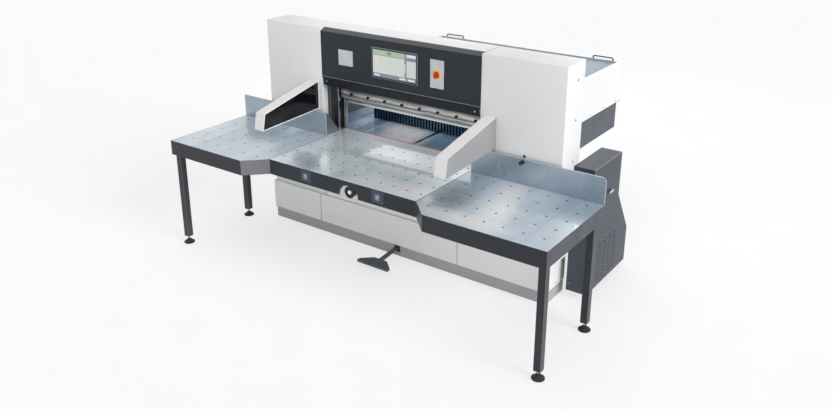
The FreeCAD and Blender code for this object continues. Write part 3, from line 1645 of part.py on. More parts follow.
def hydraulic_unit():
    # oil tank with its pump motor and valve block, in the base beside the clamp cylinder
    tank_right = throat - size.tank_margin
    tank_left = tank_right - size.tank_length
    tank_top = unit_low + size.tank_height
    sunk = tank_top - size.weld

    def across(place, length):
        return (tank_left + place, tank_left + place + length)

    tank = box("oil_tank", (tank_left, tank_right),
               (column_front + size.tank_front, inner_back - size.tank_back), (unit_low, tank_top))
    motor = cylinder("pump_motor", "x", across(size.pump_place, size.pump_length),
                     (column_front + size.pump_setback, tank_top + gap + size.pump_rise), size.pump_size / 2)
    saddle = box("motor_saddle", across(size.saddle_place, size.saddle_length),
                 around(column_front + size.pump_setback, size.saddle_depth),
                 (sunk, tank_top + size.saddle_height))
    valve_front = column_front + size.valve_setback
    valves = box("valve_block", across(size.valve_place, size.valve_length),
                 (valve_front, valve_front + size.valve_depth), (sunk, tank_top + size.valve_height))
    return fuse("hydraulic_unit", tank, motor, saddle, valves)


def cover_screws():
    screws = []
    for rise in (size.low_screw_rise, size.middle_screw_rise, size.high_screw_rise):
        for side, end in ((-1, -left_column), (1, right_column)):
            span = sided(side, end + size.seat_gap, end + size.screw_proud)
            screws.append(cylinder("cover_screw", "x", span, (column_front + size.screw_setback, top + rise),
                                   size.screw_head / 2))
    return group("cover_screws", *screws)


sub_parts = [
    side_frames(),
    cross_beams(),
    upper_beam(),
    throat_guides(),
    plinth(),
    lower_panels(),
    apron(),
    rear_base_cover(),
    column_cover("left_column_cover", -1, size.left_column_width),
    column_cover("right_column_cover", 1, size.right_column_width),
    top_cover(),
    fascia(),
    knife_flap(),
    hinge_pins(),
    monitor_housing(),
    monitor_screen(),
    control_plates(),
    main_switch_knob(),
    cut_button("left_cut_button", size.left_button_place),
    cut_button("right_cut_button", size.right_button_place),
    front_table(),
    front_bar(),
    table_brackets(),
    handwheel(),
    cutting_stick(),
    rear_tables(),
    side_table_plate("left_table_plate", -1, size.left_hole_margin, size.left_hole_pitch),
    side_table_plate("right_table_plate", 1, size.right_hole_margin, size.right_hole_pitch),
    side_table_frame("left_table_frame", -1),
    side_table_frame("right_table_frame", 1),
    levelling_feet(),
    left_guard(),
    right_guard(),
    guard_knob(),
    arm_housings(),
    light_curtain_windows(),
    clamp_beam(),
    clamp_yoke(),
    hydraulic_cylinders(),
    knife_carrier(),
    knife_blade(),
    knife_bolts(),
    knife_pistons(),
    back_gauge(),
    gauge_carriage(),
    lead_screw(),
    gauge_track(),
    gauge_motor(),
    rear_skirt(),
    rear_side_walls(),
    rear_wall(),
    rear_handles(),
    rear_pedestal(),
    cabinet_body(),
    cabinet_door(),
    cabinet_latch(),
    cable_gland(),
    foot_pedal(),
    hydraulic_unit(),
    cover_screws(),
]

doc.recompute()

faults = [item.Label for item in doc.Objects if "Invalid" in item.State or "Error" in item.State]
for item in sub_parts:
    if item.Shape.isNull() or not item.Shape.isValid() or not item.Shape.Solids:
        faults.append(item.Label)
if faults:
    raise RuntimeError("failed objects: " + ", ".join(faults))

os.makedirs("parts", exist_ok=True)
for item in sub_parts:
    item.Shape.exportStep(f"parts/{item.Label}.step")
    print(item.Label, len(item.Shape.Solids), "solids", round(item.Shape.Volume / 1000), "cm3")
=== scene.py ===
import json
import math

import bmesh
import bpy
from mathutils import Matrix, Vector

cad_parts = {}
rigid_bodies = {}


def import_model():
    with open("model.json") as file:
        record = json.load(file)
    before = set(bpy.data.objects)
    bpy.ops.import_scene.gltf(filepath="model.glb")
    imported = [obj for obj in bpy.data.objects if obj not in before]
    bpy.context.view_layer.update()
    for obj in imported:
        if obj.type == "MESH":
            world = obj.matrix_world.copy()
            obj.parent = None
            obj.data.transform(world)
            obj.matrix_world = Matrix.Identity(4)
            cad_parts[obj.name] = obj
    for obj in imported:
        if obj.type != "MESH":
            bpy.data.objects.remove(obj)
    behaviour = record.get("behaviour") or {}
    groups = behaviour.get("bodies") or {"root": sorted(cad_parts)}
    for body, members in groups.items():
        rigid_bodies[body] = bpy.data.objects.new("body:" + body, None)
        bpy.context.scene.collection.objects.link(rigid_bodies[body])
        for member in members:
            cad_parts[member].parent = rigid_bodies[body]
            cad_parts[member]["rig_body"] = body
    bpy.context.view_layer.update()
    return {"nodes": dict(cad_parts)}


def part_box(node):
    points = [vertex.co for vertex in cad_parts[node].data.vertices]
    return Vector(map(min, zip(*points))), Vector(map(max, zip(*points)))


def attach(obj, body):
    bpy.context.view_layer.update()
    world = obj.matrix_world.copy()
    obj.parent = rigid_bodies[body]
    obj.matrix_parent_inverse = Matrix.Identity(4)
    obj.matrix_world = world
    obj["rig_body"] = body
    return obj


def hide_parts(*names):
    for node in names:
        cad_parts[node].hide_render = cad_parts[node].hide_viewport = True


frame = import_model()
nodes = frame["nodes"]


# Arithmetic on a Signal adds Math nodes to the tree that it belongs to.
class Signal:
    def __init__(self, book, socket):
        self.book = book
        self.socket = socket

    def join(self, operation, *terms):
        return self.book.node("ShaderNodeMath", {"operation": operation}, dict(enumerate(terms)))

    def __add__(self, other):
        return self.join("ADD", self, other)

    def __sub__(self, other):
        return self.join("SUBTRACT", self, other)

    def __mul__(self, other):
        return self.join("MULTIPLY", self, other)

    def __truediv__(self, other):
        return self.join("DIVIDE", self, other)

    def __rsub__(self, other):
        return self.join("SUBTRACT", other, self)

    def __rtruediv__(self, other):
        return self.join("DIVIDE", other, self)

    def __gt__(self, other):
        return self.join("GREATER_THAN", self, other)

    def __lt__(self, other):
        return self.join("LESS_THAN", self, other)

    __radd__ = __add__
    __rmul__ = __mul__

    def most(self, other):
        return self.join("MAXIMUM", self, other)

    def sine(self):
        return self.join("SINE", self)

    def siblings(self):
        # every output of the node that this one comes from
        return [Signal(self.book, output) for output in self.socket.node.outputs]


# One node tree, and the ways to add to it.
class NodeBook:
    def __init__(self, tree):
        self.tree = tree

    def node(self, kind, settings=None, inputs=None, output=0):
        # settings come first, because they can change which sockets are in use
        item = self.tree.nodes.new(kind)
        for name, value in (settings or {}).items():
            if name == "stops":
                ramp = item.color_ramp
                while len(ramp.elements) < len(value):
                    ramp.elements.new(0.5)
                for stop, (place, colour) in zip(ramp.elements, value):
                    stop.position = place
                    stop.color = colour
            else:
                setattr(item, name, value)
        for key, value in (inputs or {}).items():
            self.feed(item.inputs[key], value)
        return Signal(self, item.outputs[output]) if len(item.outputs) else None

    def feed(self, socket, value):
        if isinstance(value, Signal):
            self.tree.links.new(value.socket, socket)
        else:
            socket.default_value = value

    def place(self):
        # the point's place in the part's own frame, in metres
        return self.node("ShaderNodeTexCoord", output="Object")

    def axes(self):
        return self.node("ShaderNodeSeparateXYZ", {}, {0: self.place()}).siblings()

    def noise(self, scale, detail=3.0, roughness=0.5, stretch=(1, 1, 1), distortion=0.0):
        stretched = self.node("ShaderNodeMapping", {}, {"Vector": self.place(), "Scale": stretch})
        return self.node("ShaderNodeTexNoise", {}, {"Vector": stretched, "Scale": scale, "Detail": detail,
                                                    "Roughness": roughness, "Distortion": distortion})

    def spread(self, signal, low, high, start=0.0, end=1.0):
        # maps the range low to high onto start to end, held at both ends
        return self.node("ShaderNodeMapRange", {"clamp": True}, {0: signal, 1: low, 2: high, 3: start, 4: end})

    def mix(self, factor, first, second):
        # sockets 6 and 7 and output 2 are the node's colours
        return self.node("ShaderNodeMix", {"data_type": "RGBA"}, {0: factor, 6: first, 7: second}, 2)

    def bump(self, height, strength, distance):
        return self.node("ShaderNodeBump", {}, {"Height": height, "Strength": strength, "Distance": distance})


def rgba(colour):
    return (*colour, 1.0)


def shade(colour, factor):
    return rgba([part * factor for part in colour])


class Finish(NodeBook):
    names = {"colour": "Base Color", "roughness": "Roughness", "metal": "Metallic", "normal": "Normal",
             "coat": "Coat Weight", "coatRoughness": "Coat Roughness", "glow": "Emission Color",
             "glowStrength": "Emission Strength", "specular": "Specular IOR Level"}

    def __init__(self, name, **sockets):
        self.material = bpy.data.materials.new(name)
        self.material.use_nodes = True
        super().__init__(self.material.node_tree)
        self.shader = self.tree.nodes["Principled BSDF"]
        self.set(**sockets)

    def set(self, **sockets):
        for key, value in sockets.items():
            self.feed(self.shader.inputs[self.names[key]], value)
        return self.material


# Powder-coated and painted sheet: a fine orange peel, slow changes of tone, a little dust low down. Each row has the
# colour, roughness, grain per metre, depth of the peel and change of tone, then specular and coat where they differ.
paints = {
    "whitePaint": ((0.82, 0.82, 0.82), 0.42, 1100, 0.10, 0.035, 0.3, 0.0),
    # painted light: a brighter copy of the white paint, which lifts the lower panels and the apron out of the table's
    # shadow
    "panelPaint": ((0.90, 0.90, 0.895), 0.42, 1100, 0.10, 0.03, 0.3, 0.0),
    "palePaint": ((0.33, 0.33, 0.335), 0.46, 1000, 0.12, 0.04),
    "crestPaint": ((0.036, 0.042, 0.050), 0.36, 1300, 0.12, 0.10),
    "plinthPaint": ((0.41, 0.415, 0.42), 0.5, 1000, 0.14, 0.06),
    "slatePaint": ((0.019, 0.024, 0.032), 0.40, 1300, 0.12, 0.10, 0.28, 0.0),
    "flapPaint": ((0.012, 0.015, 0.020), 0.42, 1300, 0.12, 0.10, 0.25, 0.0),
    "legPaint": ((0.013, 0.017, 0.025), 0.36, 1300, 0.12, 0.10, 0.4, 0.0),
    # painted light: a lighter copy of the leg paint on the frames' right faces, which face the light
    "sidePaint": ((0.034, 0.038, 0.050), 0.36, 1300, 0.12, 0.10, 0.4, 0.0),
    "cabinetPaint": ((0.048, 0.058, 0.074), 0.48, 800, 0.20, 0.09, 0.4, 0.0),
    # painted shadow: the dark strips at the louvre slots below the hoods
    "mouthPaint": ((0.004, 0.004, 0.005), 0.7, 800, 0.1, 0.1, 0.1, 0.0),
    # painted highlight: the louvre hoods, lighter than the door's paint
    "hoodPaint": ((0.14, 0.155, 0.185), 0.45, 800, 0.20, 0.09),
    # painted highlight: the light rounds along the edges of dark-painted parts and the door's sheet edges
    "edgePaint": ((0.30, 0.32, 0.35), 0.40, 1300, 0.08, 0.12),
    # painted light: the left frame's cut corner, lighter than the leg paint
    "returnPaint": ((0.15, 0.155, 0.175), 0.40, 1300, 0.12, 0.08),
    # painted shade: the rear side walls' inner faces, dark blue-grey instead of white
    "innerPaint": ((0.15, 0.20, 0.25), 0.42, 1000, 0.12, 0.08),
    # painted light: a lighter white for the rear wall's shaded inner face, with a bluish tint of painted shade
    "wallPaint": ((0.84, 0.88, 0.93), 0.42, 1000, 0.12, 0.06),
    "trayPaint": ((0.046, 0.062, 0.080), 0.46, 900, 0.16, 0.07),
    # painted shade: near black for the side frames' inner faces and for the drip tray under the slot
    "castDark": ((0.030, 0.030, 0.032), 0.45, 260, 0.40, 0.16),
    "castPaint": ((0.30, 0.32, 0.34), 0.6, 220, 0.45, 0.12),
}
paintLook = {"coatRoughness": 0.25, "cloudScale": 1.3, "smearScale": 7.0, "smearStretch": (1, 1, 0.35),
             "cloudShare": 0.6, "peelHeight": 0.0004, "polished": -0.05, "dull": 0.07}
dust = {"colour": (0.34, 0.32, 0.29), "share": 0.10, "reach": 0.5, "dulling": 0.3}


def paintedSheet(name, colour, roughness, grain, peel, tone, specular=0.5, coat=0.1):
    look = paintLook
    paint = Finish(name, coat=coat, coatRoughness=look["coatRoughness"], specular=specular)
    cloud = paint.noise(look["cloudScale"], detail=4, roughness=0.55)
    smear = paint.noise(look["smearScale"], detail=5, roughness=0.6, stretch=look["smearStretch"])
    drift = paint.spread(cloud * look["cloudShare"] + smear * (1 - look["cloudShare"]), 0.3, 0.7)
    tinted = paint.mix(drift, shade(colour, 1 - tone), shade(colour, 1 + tone))
    low = paint.spread(paint.axes()[2], 0.0, dust["reach"], dust["share"], 0.0) * paint.spread(smear, 0.35, 0.7)
    gloss = paint.spread(smear, 0.3, 0.7, roughness + look["polished"], roughness + look["dull"])
    return paint.set(colour=paint.mix(low, tinted, rgba(dust["colour"])), roughness=gloss + low * dust["dulling"],
                     normal=paint.bump(paint.noise(grain, detail=2), peel, look["peelHeight"]))


# Ground and brushed metal: fine lines, stains, and broad light and dark bands that are painted reflections. Each row
# has the colour, that of the stains, roughness, how fine the lines are along each axis, their depth and the scale of
# the stains, then the metallic share and the coat where they differ.
metals = {
    "tableSteel": ((0.62, 0.71, 0.79), (0.52, 0.62, 0.72), 0.27, (4, 260, 4), 0.015, 0.9, 0.30, 0.7),
    # painted shade: a darker copy of the table steel on the left table
    "leftSteel": ((0.52, 0.60, 0.67), (0.46, 0.55, 0.63), 0.30, (4, 260, 4), 0.015, 0.9, 0.22, 0.35),
    # painted light: a lighter, less metallic copy of the table steel on the front table and the front bar's rim
    "frontSteel": ((0.74, 0.83, 0.87), (0.72, 0.81, 0.78), 0.30, (4, 260, 4), 0.015, 0.9, 0.14, 0.8),
    # painted shade: a deep blue copy of the table steel on the rear tables inside the machine
    "rearSteel": ((0.22, 0.34, 0.46), (0.13, 0.24, 0.37), 0.22, (4, 260, 4), 0.015, 0.9, 0.20, 0.8),
    "guardSteel": ((0.36, 0.42, 0.48), (0.30, 0.36, 0.43), 0.30, (8, 8, 900), 0.08, 1.6, 1.0, 0.3),
    # painted highlight: bright steel on the guards' rims and rounds
    "edgeSteel": ((0.78, 0.81, 0.84), (0.66, 0.70, 0.74), 0.25, (300, 300, 300), 0.03, 8.0, 0.5),
    # painted shade: the back gauge's steel darkened to navy, as the shade behind the knife
    "gaugeSteel": ((0.09, 0.16, 0.23), (0.04, 0.08, 0.13), 0.26, (500, 500, 8), 0.10, 4.0),
    "guideSteel": ((0.62, 0.62, 0.61), (0.30, 0.29, 0.28), 0.16, (800, 800, 5), 0.08, 6.0),
    "brightChrome": ((0.62, 0.64, 0.66), (0.50, 0.52, 0.54), 0.12, (300, 300, 300), 0.03, 20.0),
    "satinAlu": ((0.58, 0.60, 0.63), (0.48, 0.50, 0.53), 0.34, (900, 12, 900), 0.08, 9.0),
    "zincScrew": ((0.30, 0.30, 0.31), (0.18, 0.18, 0.18), 0.34, (400, 400, 400), 0.05, 40.0),
    "bushSteel": ((0.030, 0.036, 0.044), (0.02, 0.022, 0.026), 0.35, (500, 500, 500), 0.06, 30.0),
    "ballSteel": ((0.16, 0.18, 0.20), (0.10, 0.11, 0.12), 0.20, (500, 500, 500), 0.02, 30.0),
    "blackSteel": ((0.055, 0.055, 0.06), (0.03, 0.03, 0.032), 0.35, (500, 500, 500), 0.06, 30.0),
}
# Painted reflection bands, as (stretch along each axis, share of the light ones, colour of the dark ones, their share).
reflectionBands = {
    "tableSteel": ((3.2, 0.6, 1.0), 0.35, (0.34, 0.46, 0.58), 0.50),
    "leftSteel": ((3.2, 0.6, 1.0), 0.40, (0.34, 0.46, 0.58), 0.50),
    "frontSteel": ((2.6, 1.1, 1.0), 0.45, (0.40, 0.54, 0.60), 0.55),
    "rearSteel": ((5.5, 0.8, 1.0), 0.55, (0.10, 0.18, 0.26), 0.55),
    "guardSteel": ((2.2, 1.0, 1.4), 0.16, (0.26, 0.33, 0.42), 0.45),
}
metalLook = {"coatRoughness": 0.05, "lineTones": (0.94, 1.05), "stainShare": 0.55, "streakScale": 1.0, "poolScale": 1.7,
             "bandHighlight": (0.97, 0.98, 0.98), "ragged": 0.8, "lineShare": 0.3, "glossRange": (0.75, 1.3),
             "lineHeight": 0.0002}
# Broad painted reflections on the tables, pale for reflected light and dark or greenish for reflected dark parts, as
# (place, half width, half length, lean, share, colour). The lean is how far a smear leans towards the left per metre
# towards the back.
reflectedLightTone, reflectedShadeTone, reflectedGreenTone = (0.97, 0.98, 0.99), (0.20, 0.27, 0.34), (0.34, 0.40, 0.35)
paintedReflections = {
    "tableSteel": [((0.81, -0.52), 0.20, 0.52, 0.2, 0.80, reflectedShadeTone),
                   ((1.64, -0.34), 0.26, 0.34, 0.2, 0.60, reflectedShadeTone),
                   ((1.17, -0.62), 0.15, 0.62, 0.2, 0.95, reflectedLightTone),
                   ((1.08, -0.97), 0.44, 0.12, 0.0, 0.80, reflectedLightTone),
                   ((0.73, -0.84), 0.05, 0.09, 0.4, 0.70, reflectedLightTone)],
    "frontSteel": [((-0.46, -0.76), 0.15, 0.17, 0.8, 0.65, reflectedShadeTone),
                   ((0.10, -0.42), 0.62, 0.09, 0.0, 0.55, reflectedGreenTone),
                   ((0.42, -0.30), 0.26, 0.22, 0.5, 0.50, reflectedShadeTone),
                   ((-0.34, -0.68), 0.05, 0.18, 0.8, 1.00, reflectedLightTone),
                   ((0.48, -0.80), 0.42, 0.15, 0.0, 0.90, reflectedLightTone),
                   ((-0.26, -0.06), 0.28, 0.14, 0.3, 0.85, reflectedLightTone)],
    "leftSteel": [((-1.12, -0.52), 0.22, 0.20, 0.3, 0.45, reflectedShadeTone),
                  ((-1.05, -0.20), 0.10, 0.20, 0.5, 0.50, reflectedLightTone)],
    "rearSteel": [((-0.20, 0.16), 0.28, 0.50, 0.3, 1.00, reflectedLightTone)],
}


def groundMetal(name, colour, stain, roughness, lines, depth, cloudScale, metallic=1.0, coat=0.0):
    look = metalLook
    metal = Finish(name, metal=metallic, coat=coat, coatRoughness=look["coatRoughness"])
    streak = metal.noise(1.0, detail=3, roughness=0.65, stretch=lines)
    cloud = metal.noise(cloudScale, detail=5, roughness=0.55, distortion=0.4)
    tone = metal.mix(metal.spread(streak, 0.3, 0.7), *(shade(colour, factor) for factor in look["lineTones"]))
    tone = metal.mix(metal.spread(cloud, 0.40, 0.70) * look["stainShare"], tone, rgba(stain))
    # painted reflections: light streaks mixed towards near white and dark pools towards a deep blue
    if name in reflectionBands:
        stretch, highlightShare, darkReflection, darkShare = reflectionBands[name]
        streaks = metal.noise(look["streakScale"], detail=2, stretch=stretch, distortion=0.5)
        pools = metal.noise(look["poolScale"], detail=2, stretch=stretch, distortion=0.9)
        tone = metal.mix(metal.spread(pools, 0.50, 0.72) * darkShare, tone, rgba(darkReflection))
        tone = metal.mix(metal.spread(streaks, 0.50, 0.68) * highlightShare, tone, rgba(look["bandHighlight"]))
    # painted reflections in broad smears
    if name in paintedReflections:
        x, y = metal.axes()[:2]
        for (placeX, placeY), wide, long, lean, share, mark in paintedReflections[name]:
            back = y - placeY
            side = (x - placeX + back * lean) / wide
            reach = side * side + back * back / long ** 2 + (cloud - 0.5) * look["ragged"]
            tone = metal.mix(metal.spread(reach, 0.1, 1.0, share, 0.0), tone, rgba(mark))
    polished, dull = (roughness * factor for factor in look["glossRange"])
    wear = streak * look["lineShare"] + cloud * (1 - look["lineShare"])
    return metal.set(colour=tone, roughness=metal.spread(wear, 0.3, 0.7, polished, dull),
                     normal=metal.bump(streak, depth, look["lineHeight"]))


# Beams with painted highlights and shade: bright and dark zones one above the other, as (share of the height, grey),
# with streaks along the beam. The span is the lowest and the highest level.
sheenBeams = {
    "carrierSteel": ((1.180, 1.300), [(0.0, 0.06), (0.12, 0.62), (0.26, 0.12), (0.42, 0.70), (0.58, 0.24),
                                      (0.80, 0.07), (1.0, 0.30)]),
    "clampSteel": ((1.133, 1.175), [(0.0, 0.92), (0.25, 0.82), (0.45, 0.22), (0.70, 0.60), (1.0, 0.14)]),
    "bladeSteel": ((1.145, 1.185), [(0.0, 0.85), (0.2, 0.60), (0.5, 0.28), (0.8, 0.50), (1.0, 0.12)]),
}
beamSheen = {"metal": 0.85, "streak": 0.34, "streakStretch": (2.5, 8, 140), "drift": 0.24, "driftScale": 3.5,
       "warmth": (1.02, 1.0, 0.97), "polished": 0.20, "dull": 0.38, "depth": 0.08, "height": 0.0002}


# a ramp of grey zones up the beam: painted highlights and shade
def sheenBeam(name, span, sheenZones):
    beam = Finish(name, metal=beamSheen["metal"])
    streak = beam.noise(1.0, detail=4, roughness=0.7, stretch=beamSheen["streakStretch"])
    drift = beam.noise(1.0, detail=3, stretch=[beamSheen["driftScale"]] * 3)
    level = beam.spread(beam.axes()[2], *span) + (streak - 0.5) * beamSheen["streak"] + (drift - 0.5) * beamSheen["drift"]
    stops = [(at, shade(beamSheen["warmth"], grey)) for at, grey in sheenZones]
    return beam.set(colour=beam.node("ShaderNodeValToRGB", {"stops": stops}, {0: level}),
                    roughness=beam.spread(streak, 0.3, 0.7, beamSheen["polished"], beamSheen["dull"]),
                    normal=beam.bump(streak, beamSheen["depth"], beamSheen["height"]))


# Moulded plastics and rubber. Each row has the colour, roughness, grain per metre and its depth.
plastics = {
    "blackPlastic": ((0.018, 0.018, 0.020), 0.42, 1500, 0.20),
    "bezelPlastic": ((0.030, 0.034, 0.040), 0.30, 1800, 0.08),
    "rubberBlack": ((0.022, 0.023, 0.025), 0.68, 700, 0.35),
    "treadRubber": ((0.10, 0.112, 0.125), 0.62, 600, 0.40),
    "redPlastic": ((0.46, 0.035, 0.018), 0.30, 1500, 0.06),
    "yellowPlastic": ((0.83, 0.60, 0.09), 0.34, 1500, 0.06),
    "stickRed": ((0.74, 0.09, 0.07), 0.45, 500, 0.20),
    "keyBlue": ((0.16, 0.23, 0.32), 0.28, 1500, 0.05),
    "keyPale": ((0.42, 0.48, 0.55), 0.30, 1500, 0.05),
    "keyDark": ((0.03, 0.045, 0.07), 0.30, 1500, 0.05),
    "plateSlate": ((0.050, 0.068, 0.092), 0.34, 1300, 0.08),
    "platePale": ((0.62, 0.63, 0.66), 0.32, 1300, 0.08),
    "sealDark": ((0.020, 0.024, 0.028), 0.60, 700, 0.20),
    "sealGrey": ((0.11, 0.115, 0.12), 0.60, 700, 0.20),
    "wheelHub": ((0.86, 0.87, 0.88), 0.30, 1300, 0.06),
}
plasticLook = {"cloudScale": 14, "cloudTones": (0.92, 1.08), "scuffScale": 90, "scuffStretch": (1, 0.2, 1),
               "wornShare": 0.22, "wornLight": 0.18, "dull": 0.18, "grainHeight": 0.0003}


def mouldedPlastic(name, colour, roughness, grain, depth):
    look = plasticLook
    plastic = Finish(name)
    cloud = plastic.noise(look["cloudScale"], detail=4)
    scuff = plastic.noise(look["scuffScale"], detail=5, roughness=0.7, stretch=look["scuffStretch"])
    tinted = plastic.mix(plastic.spread(cloud, 0.3, 0.7), *(shade(colour, factor) for factor in look["cloudTones"]))
    worn = rgba([part * 0.5 + look["wornLight"] for part in colour])
    return plastic.set(colour=plastic.mix(plastic.spread(scuff, 0.62, 0.78, 0.0, look["wornShare"]), tinted, worn),
                       roughness=plastic.spread(scuff, 0.4, 0.75, roughness, roughness + look["dull"]),
                       normal=plastic.bump(plastic.noise(grain, detail=2), depth, look["grainHeight"]))


# The light curtains' black panes, with smears that dull the gloss here and there.
glassLook = {"clean": (0.004, 0.004, 0.005), "smeared": (0.012, 0.013, 0.015), "smearScale": 5,
             "smearStretch": (1, 1, 2.5), "polished": 0.04, "dull": 0.16}


def smokedGlass(clean, smeared, smearScale, smearStretch, polished, dull):
    glass = Finish("smokedGlass", coat=0.3, coatRoughness=0.03, specular=0.3)
    smear = glass.noise(smearScale, detail=6, roughness=0.65, stretch=smearStretch)
    return glass.set(colour=glass.mix(glass.spread(smear, 0.45, 0.7), rgba(clean), rgba(smeared)),
                     roughness=glass.spread(smear, 0.4, 0.7, polished, dull))


# The screen shows plain areas: a green bar, a pale list with rows and columns, a slider, two fields and keys. An area
# is (left, right, bottom, top, tone) in shares of the screen.
screenLook = {
    "tones": {"green": (0.36, 0.55, 0.36), "list": (0.69, 0.73, 0.67), "line": (0.70, 0.10, 0.08),
              "bar": (0.16, 0.22, 0.30), "field": (0.66, 0.70, 0.66), "key": (0.78, 0.82, 0.84)},
    "areas": [(0.0, 0.74, 0.14, 0.80, "list"), (0.0, 0.74, 0.82, 1.0, "green"), (0.0, 0.74, 0.795, 0.81, "line"),
              (0.79, 1.0, 0.16, 0.76, "field"), (0.79, 1.0, 0.88, 0.99, "key"), (0.03, 0.16, 0.03, 0.10, "key"),
              (0.62, 0.76, 0.03, 0.10, "key"), (0.82, 0.97, 0.03, 0.10, "key"), (0.745, 0.765, 0.30, 0.62, "key"),
              (0.34, 0.44, 0.86, 0.96, "bar")],
    "columns": [(0.18, 0.185, 0.15, 0.79), (0.43, 0.435, 0.15, 0.79)], "columnShare": 0.3,
    "rows": (0.02, 0.72, 0.16, 0.78), "rowTurns": 150.0, "rowShare": 0.25,
    "haze": (0.85, 0.9, 0.85), "hazeShare": 0.12, "glow": 0.08,
}


def screenFace(tones, areas, columns, columnShare, rows, rowTurns, rowShare, haze, hazeShare, glow):
    low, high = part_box("monitor_screen")
    screen = Finish("screenFace", roughness=0.16, coat=0.6, coatRoughness=0.05, glowStrength=glow)
    x, _, z = screen.axes()
    across = (x - low.x) / (high.x - low.x)
    up = (z - low.z) / (high.z - low.z)

    def area(left, right, bottom, top):
        return (across > left) * (across < right) * (up > bottom) * (up < top)

    picture = rgba(tones["bar"])
    for *edges, tone in areas:
        picture = screen.mix(area(*edges), picture, rgba(tones[tone]))
    rowLines = area(*rows) * ((up * rowTurns).sine() > 0.93)
    columnLines = area(*columns[0]) + area(*columns[1])
    picture = screen.mix(rowLines * rowShare + columnLines * columnShare, picture, rgba(tones["bar"]))
    cloud = screen.spread(screen.noise(6, detail=4), 0.4, 0.7, 0.0, hazeShare)
    picture = screen.mix(cloud, picture, rgba(haze))
    return screen.set(colour=picture, glow=picture)


# The lead screw's thread, as rings along its length.
threadLook = {"pitch": 0.01, "root": (0.05, 0.05, 0.05), "crest": (0.22, 0.22, 0.23), "height": 0.002}


def screwThread(pitch, root, crest, height):
    thread = Finish("screwThread", metal=1.0)
    ring = (thread.axes()[1] * (2 * math.pi / pitch)).sine()
    return thread.set(colour=thread.mix(thread.spread(ring, -0.6, 0.6), rgba(root), rgba(crest)),
                      roughness=thread.spread(ring, -1, 1, 0.45, 0.22), normal=thread.bump(ring, 0.8, height))


finishes = {"smokedGlass": smokedGlass(**glassLook), "screenFace": screenFace(**screenLook),
            "screwThread": screwThread(**threadLook)}
for make, looks in ((paintedSheet, paints), (groundMetal, metals), (sheenBeam, sheenBeams), (mouldedPlastic, plastics)):
    for name, look in looks.items():
        finishes[name] = make(name, *look)
print("finishes:", len(finishes))

# Which finish each node of the frame wears.
dress = {
    "panelPaint": ["lower_panels", "apron"],
    "whitePaint": ["left_column_cover", "right_column_cover", "top_cover", "rear_base_cover", "rear_side_walls",
                   "rear_wall", "arm_housings"],
    "plinthPaint": ["plinth"],
    "slatePaint": ["fascia", "front_bar", "table_brackets"],
    "flapPaint": ["knife_flap"],
    "legPaint": ["left_table_frame", "right_table_frame"],
    "cabinetPaint": ["cabinet_body", "cabinet_door"],
    "trayPaint": ["rear_skirt", "rear_pedestal"],
    "castPaint": ["side_frames", "cross_beams", "upper_beam", "clamp_yoke", "gauge_carriage", "hydraulic_unit",
                  "gauge_motor", "gauge_track"],
    "tableSteel": ["right_table_plate"],
    "leftSteel": ["left_table_plate"],
    "frontSteel": ["front_table"],
    "rearSteel": ["rear_tables"],
    "guardSteel": ["left_guard", "right_guard"],
    "carrierSteel": ["knife_carrier"],
    "clampSteel": ["clamp_beam"],
    "bladeSteel": ["knife_blade"],
    "gaugeSteel": ["back_gauge"],
    "guideSteel": ["throat_guides", "hydraulic_cylinders", "hinge_pins"],
    "brightChrome": ["knife_pistons", "handwheel", "cabinet_latch"],
    "blackSteel": ["rear_handles"],
    "bushSteel": ["knife_bolts"],
    "zincScrew": ["cover_screws"],
    "satinAlu": ["control_plates"],
    "blackPlastic": ["levelling_feet", "guard_knob", "cable_gland"],
    "bezelPlastic": ["monitor_housing"],
    "screenFace": ["monitor_screen"],
    "redPlastic": ["main_switch_knob"],
    "keyBlue": ["left_cut_button", "right_cut_button"],
    "stickRed": ["cutting_stick"],
    "smokedGlass": ["light_curtain_windows"],
    "screwThread": ["lead_screw"],
    "treadRubber": ["foot_pedal"],
}
finishOf = {name: finishes[finishName] for finishName, names in dress.items() for name in names}
for name, finish in finishOf.items():
    for materialSlot in nodes[name].material_slots:
        materialSlot.material = finish
print("nodes without a finish:", sorted(set(nodes) - set(finishOf)))


def onAxis(axis, along, first, second):
    order = {"X": (along, first, second), "Y": (first, along, second), "Z": (first, second, along)}
    return Vector(order[axis])


def spoke(radius, turn):
    return radius * math.cos(2 * math.pi * turn), radius * math.sin(2 * math.pi * turn)


def roundedBox(left, right, bottom, top, radius, steps=4):
    # the outline of an upright rectangle with round corners
    points = []
    for quarter, (a, b) in enumerate(((right - radius, top - radius), (left + radius, top - radius),
                                      (left + radius, bottom + radius), (right - radius, bottom + radius))):
        for step in range(steps + 1):
            x, y = spoke(radius, (quarter + step / steps) / 4)
            points.append((a + x, b + y))
    return points


def grown(box, by):
    left, right, bottom, top = box
    return left - by, right + by, bottom - by, top + by


def behind(front, steps, back=None):
    # steps of (depth behind the front, size) as (place, size), and where back is given, a first step there
    placed = [(front + depth, size) for depth, size in steps]
    return placed if back is None else [(back, steps[0][1])] + placed


def bentPath(corners, radius, steps=6):
    # a path of straight runs with round bends
    path = [Vector(corners[0])]
    for before, corner, after in zip(corners, corners[1:], corners[2:]):
        corner = Vector(corner)
        into = corner + (Vector(before) - corner).normalized() * radius
        out = corner + (Vector(after) - corner).normalized() * radius
        for step in range(steps + 1):
            t = step / steps
            path.append(into * (1 - t) ** 2 + corner * 2 * t * (1 - t) + out * t ** 2)
    return path + [Vector(corners[-1])]


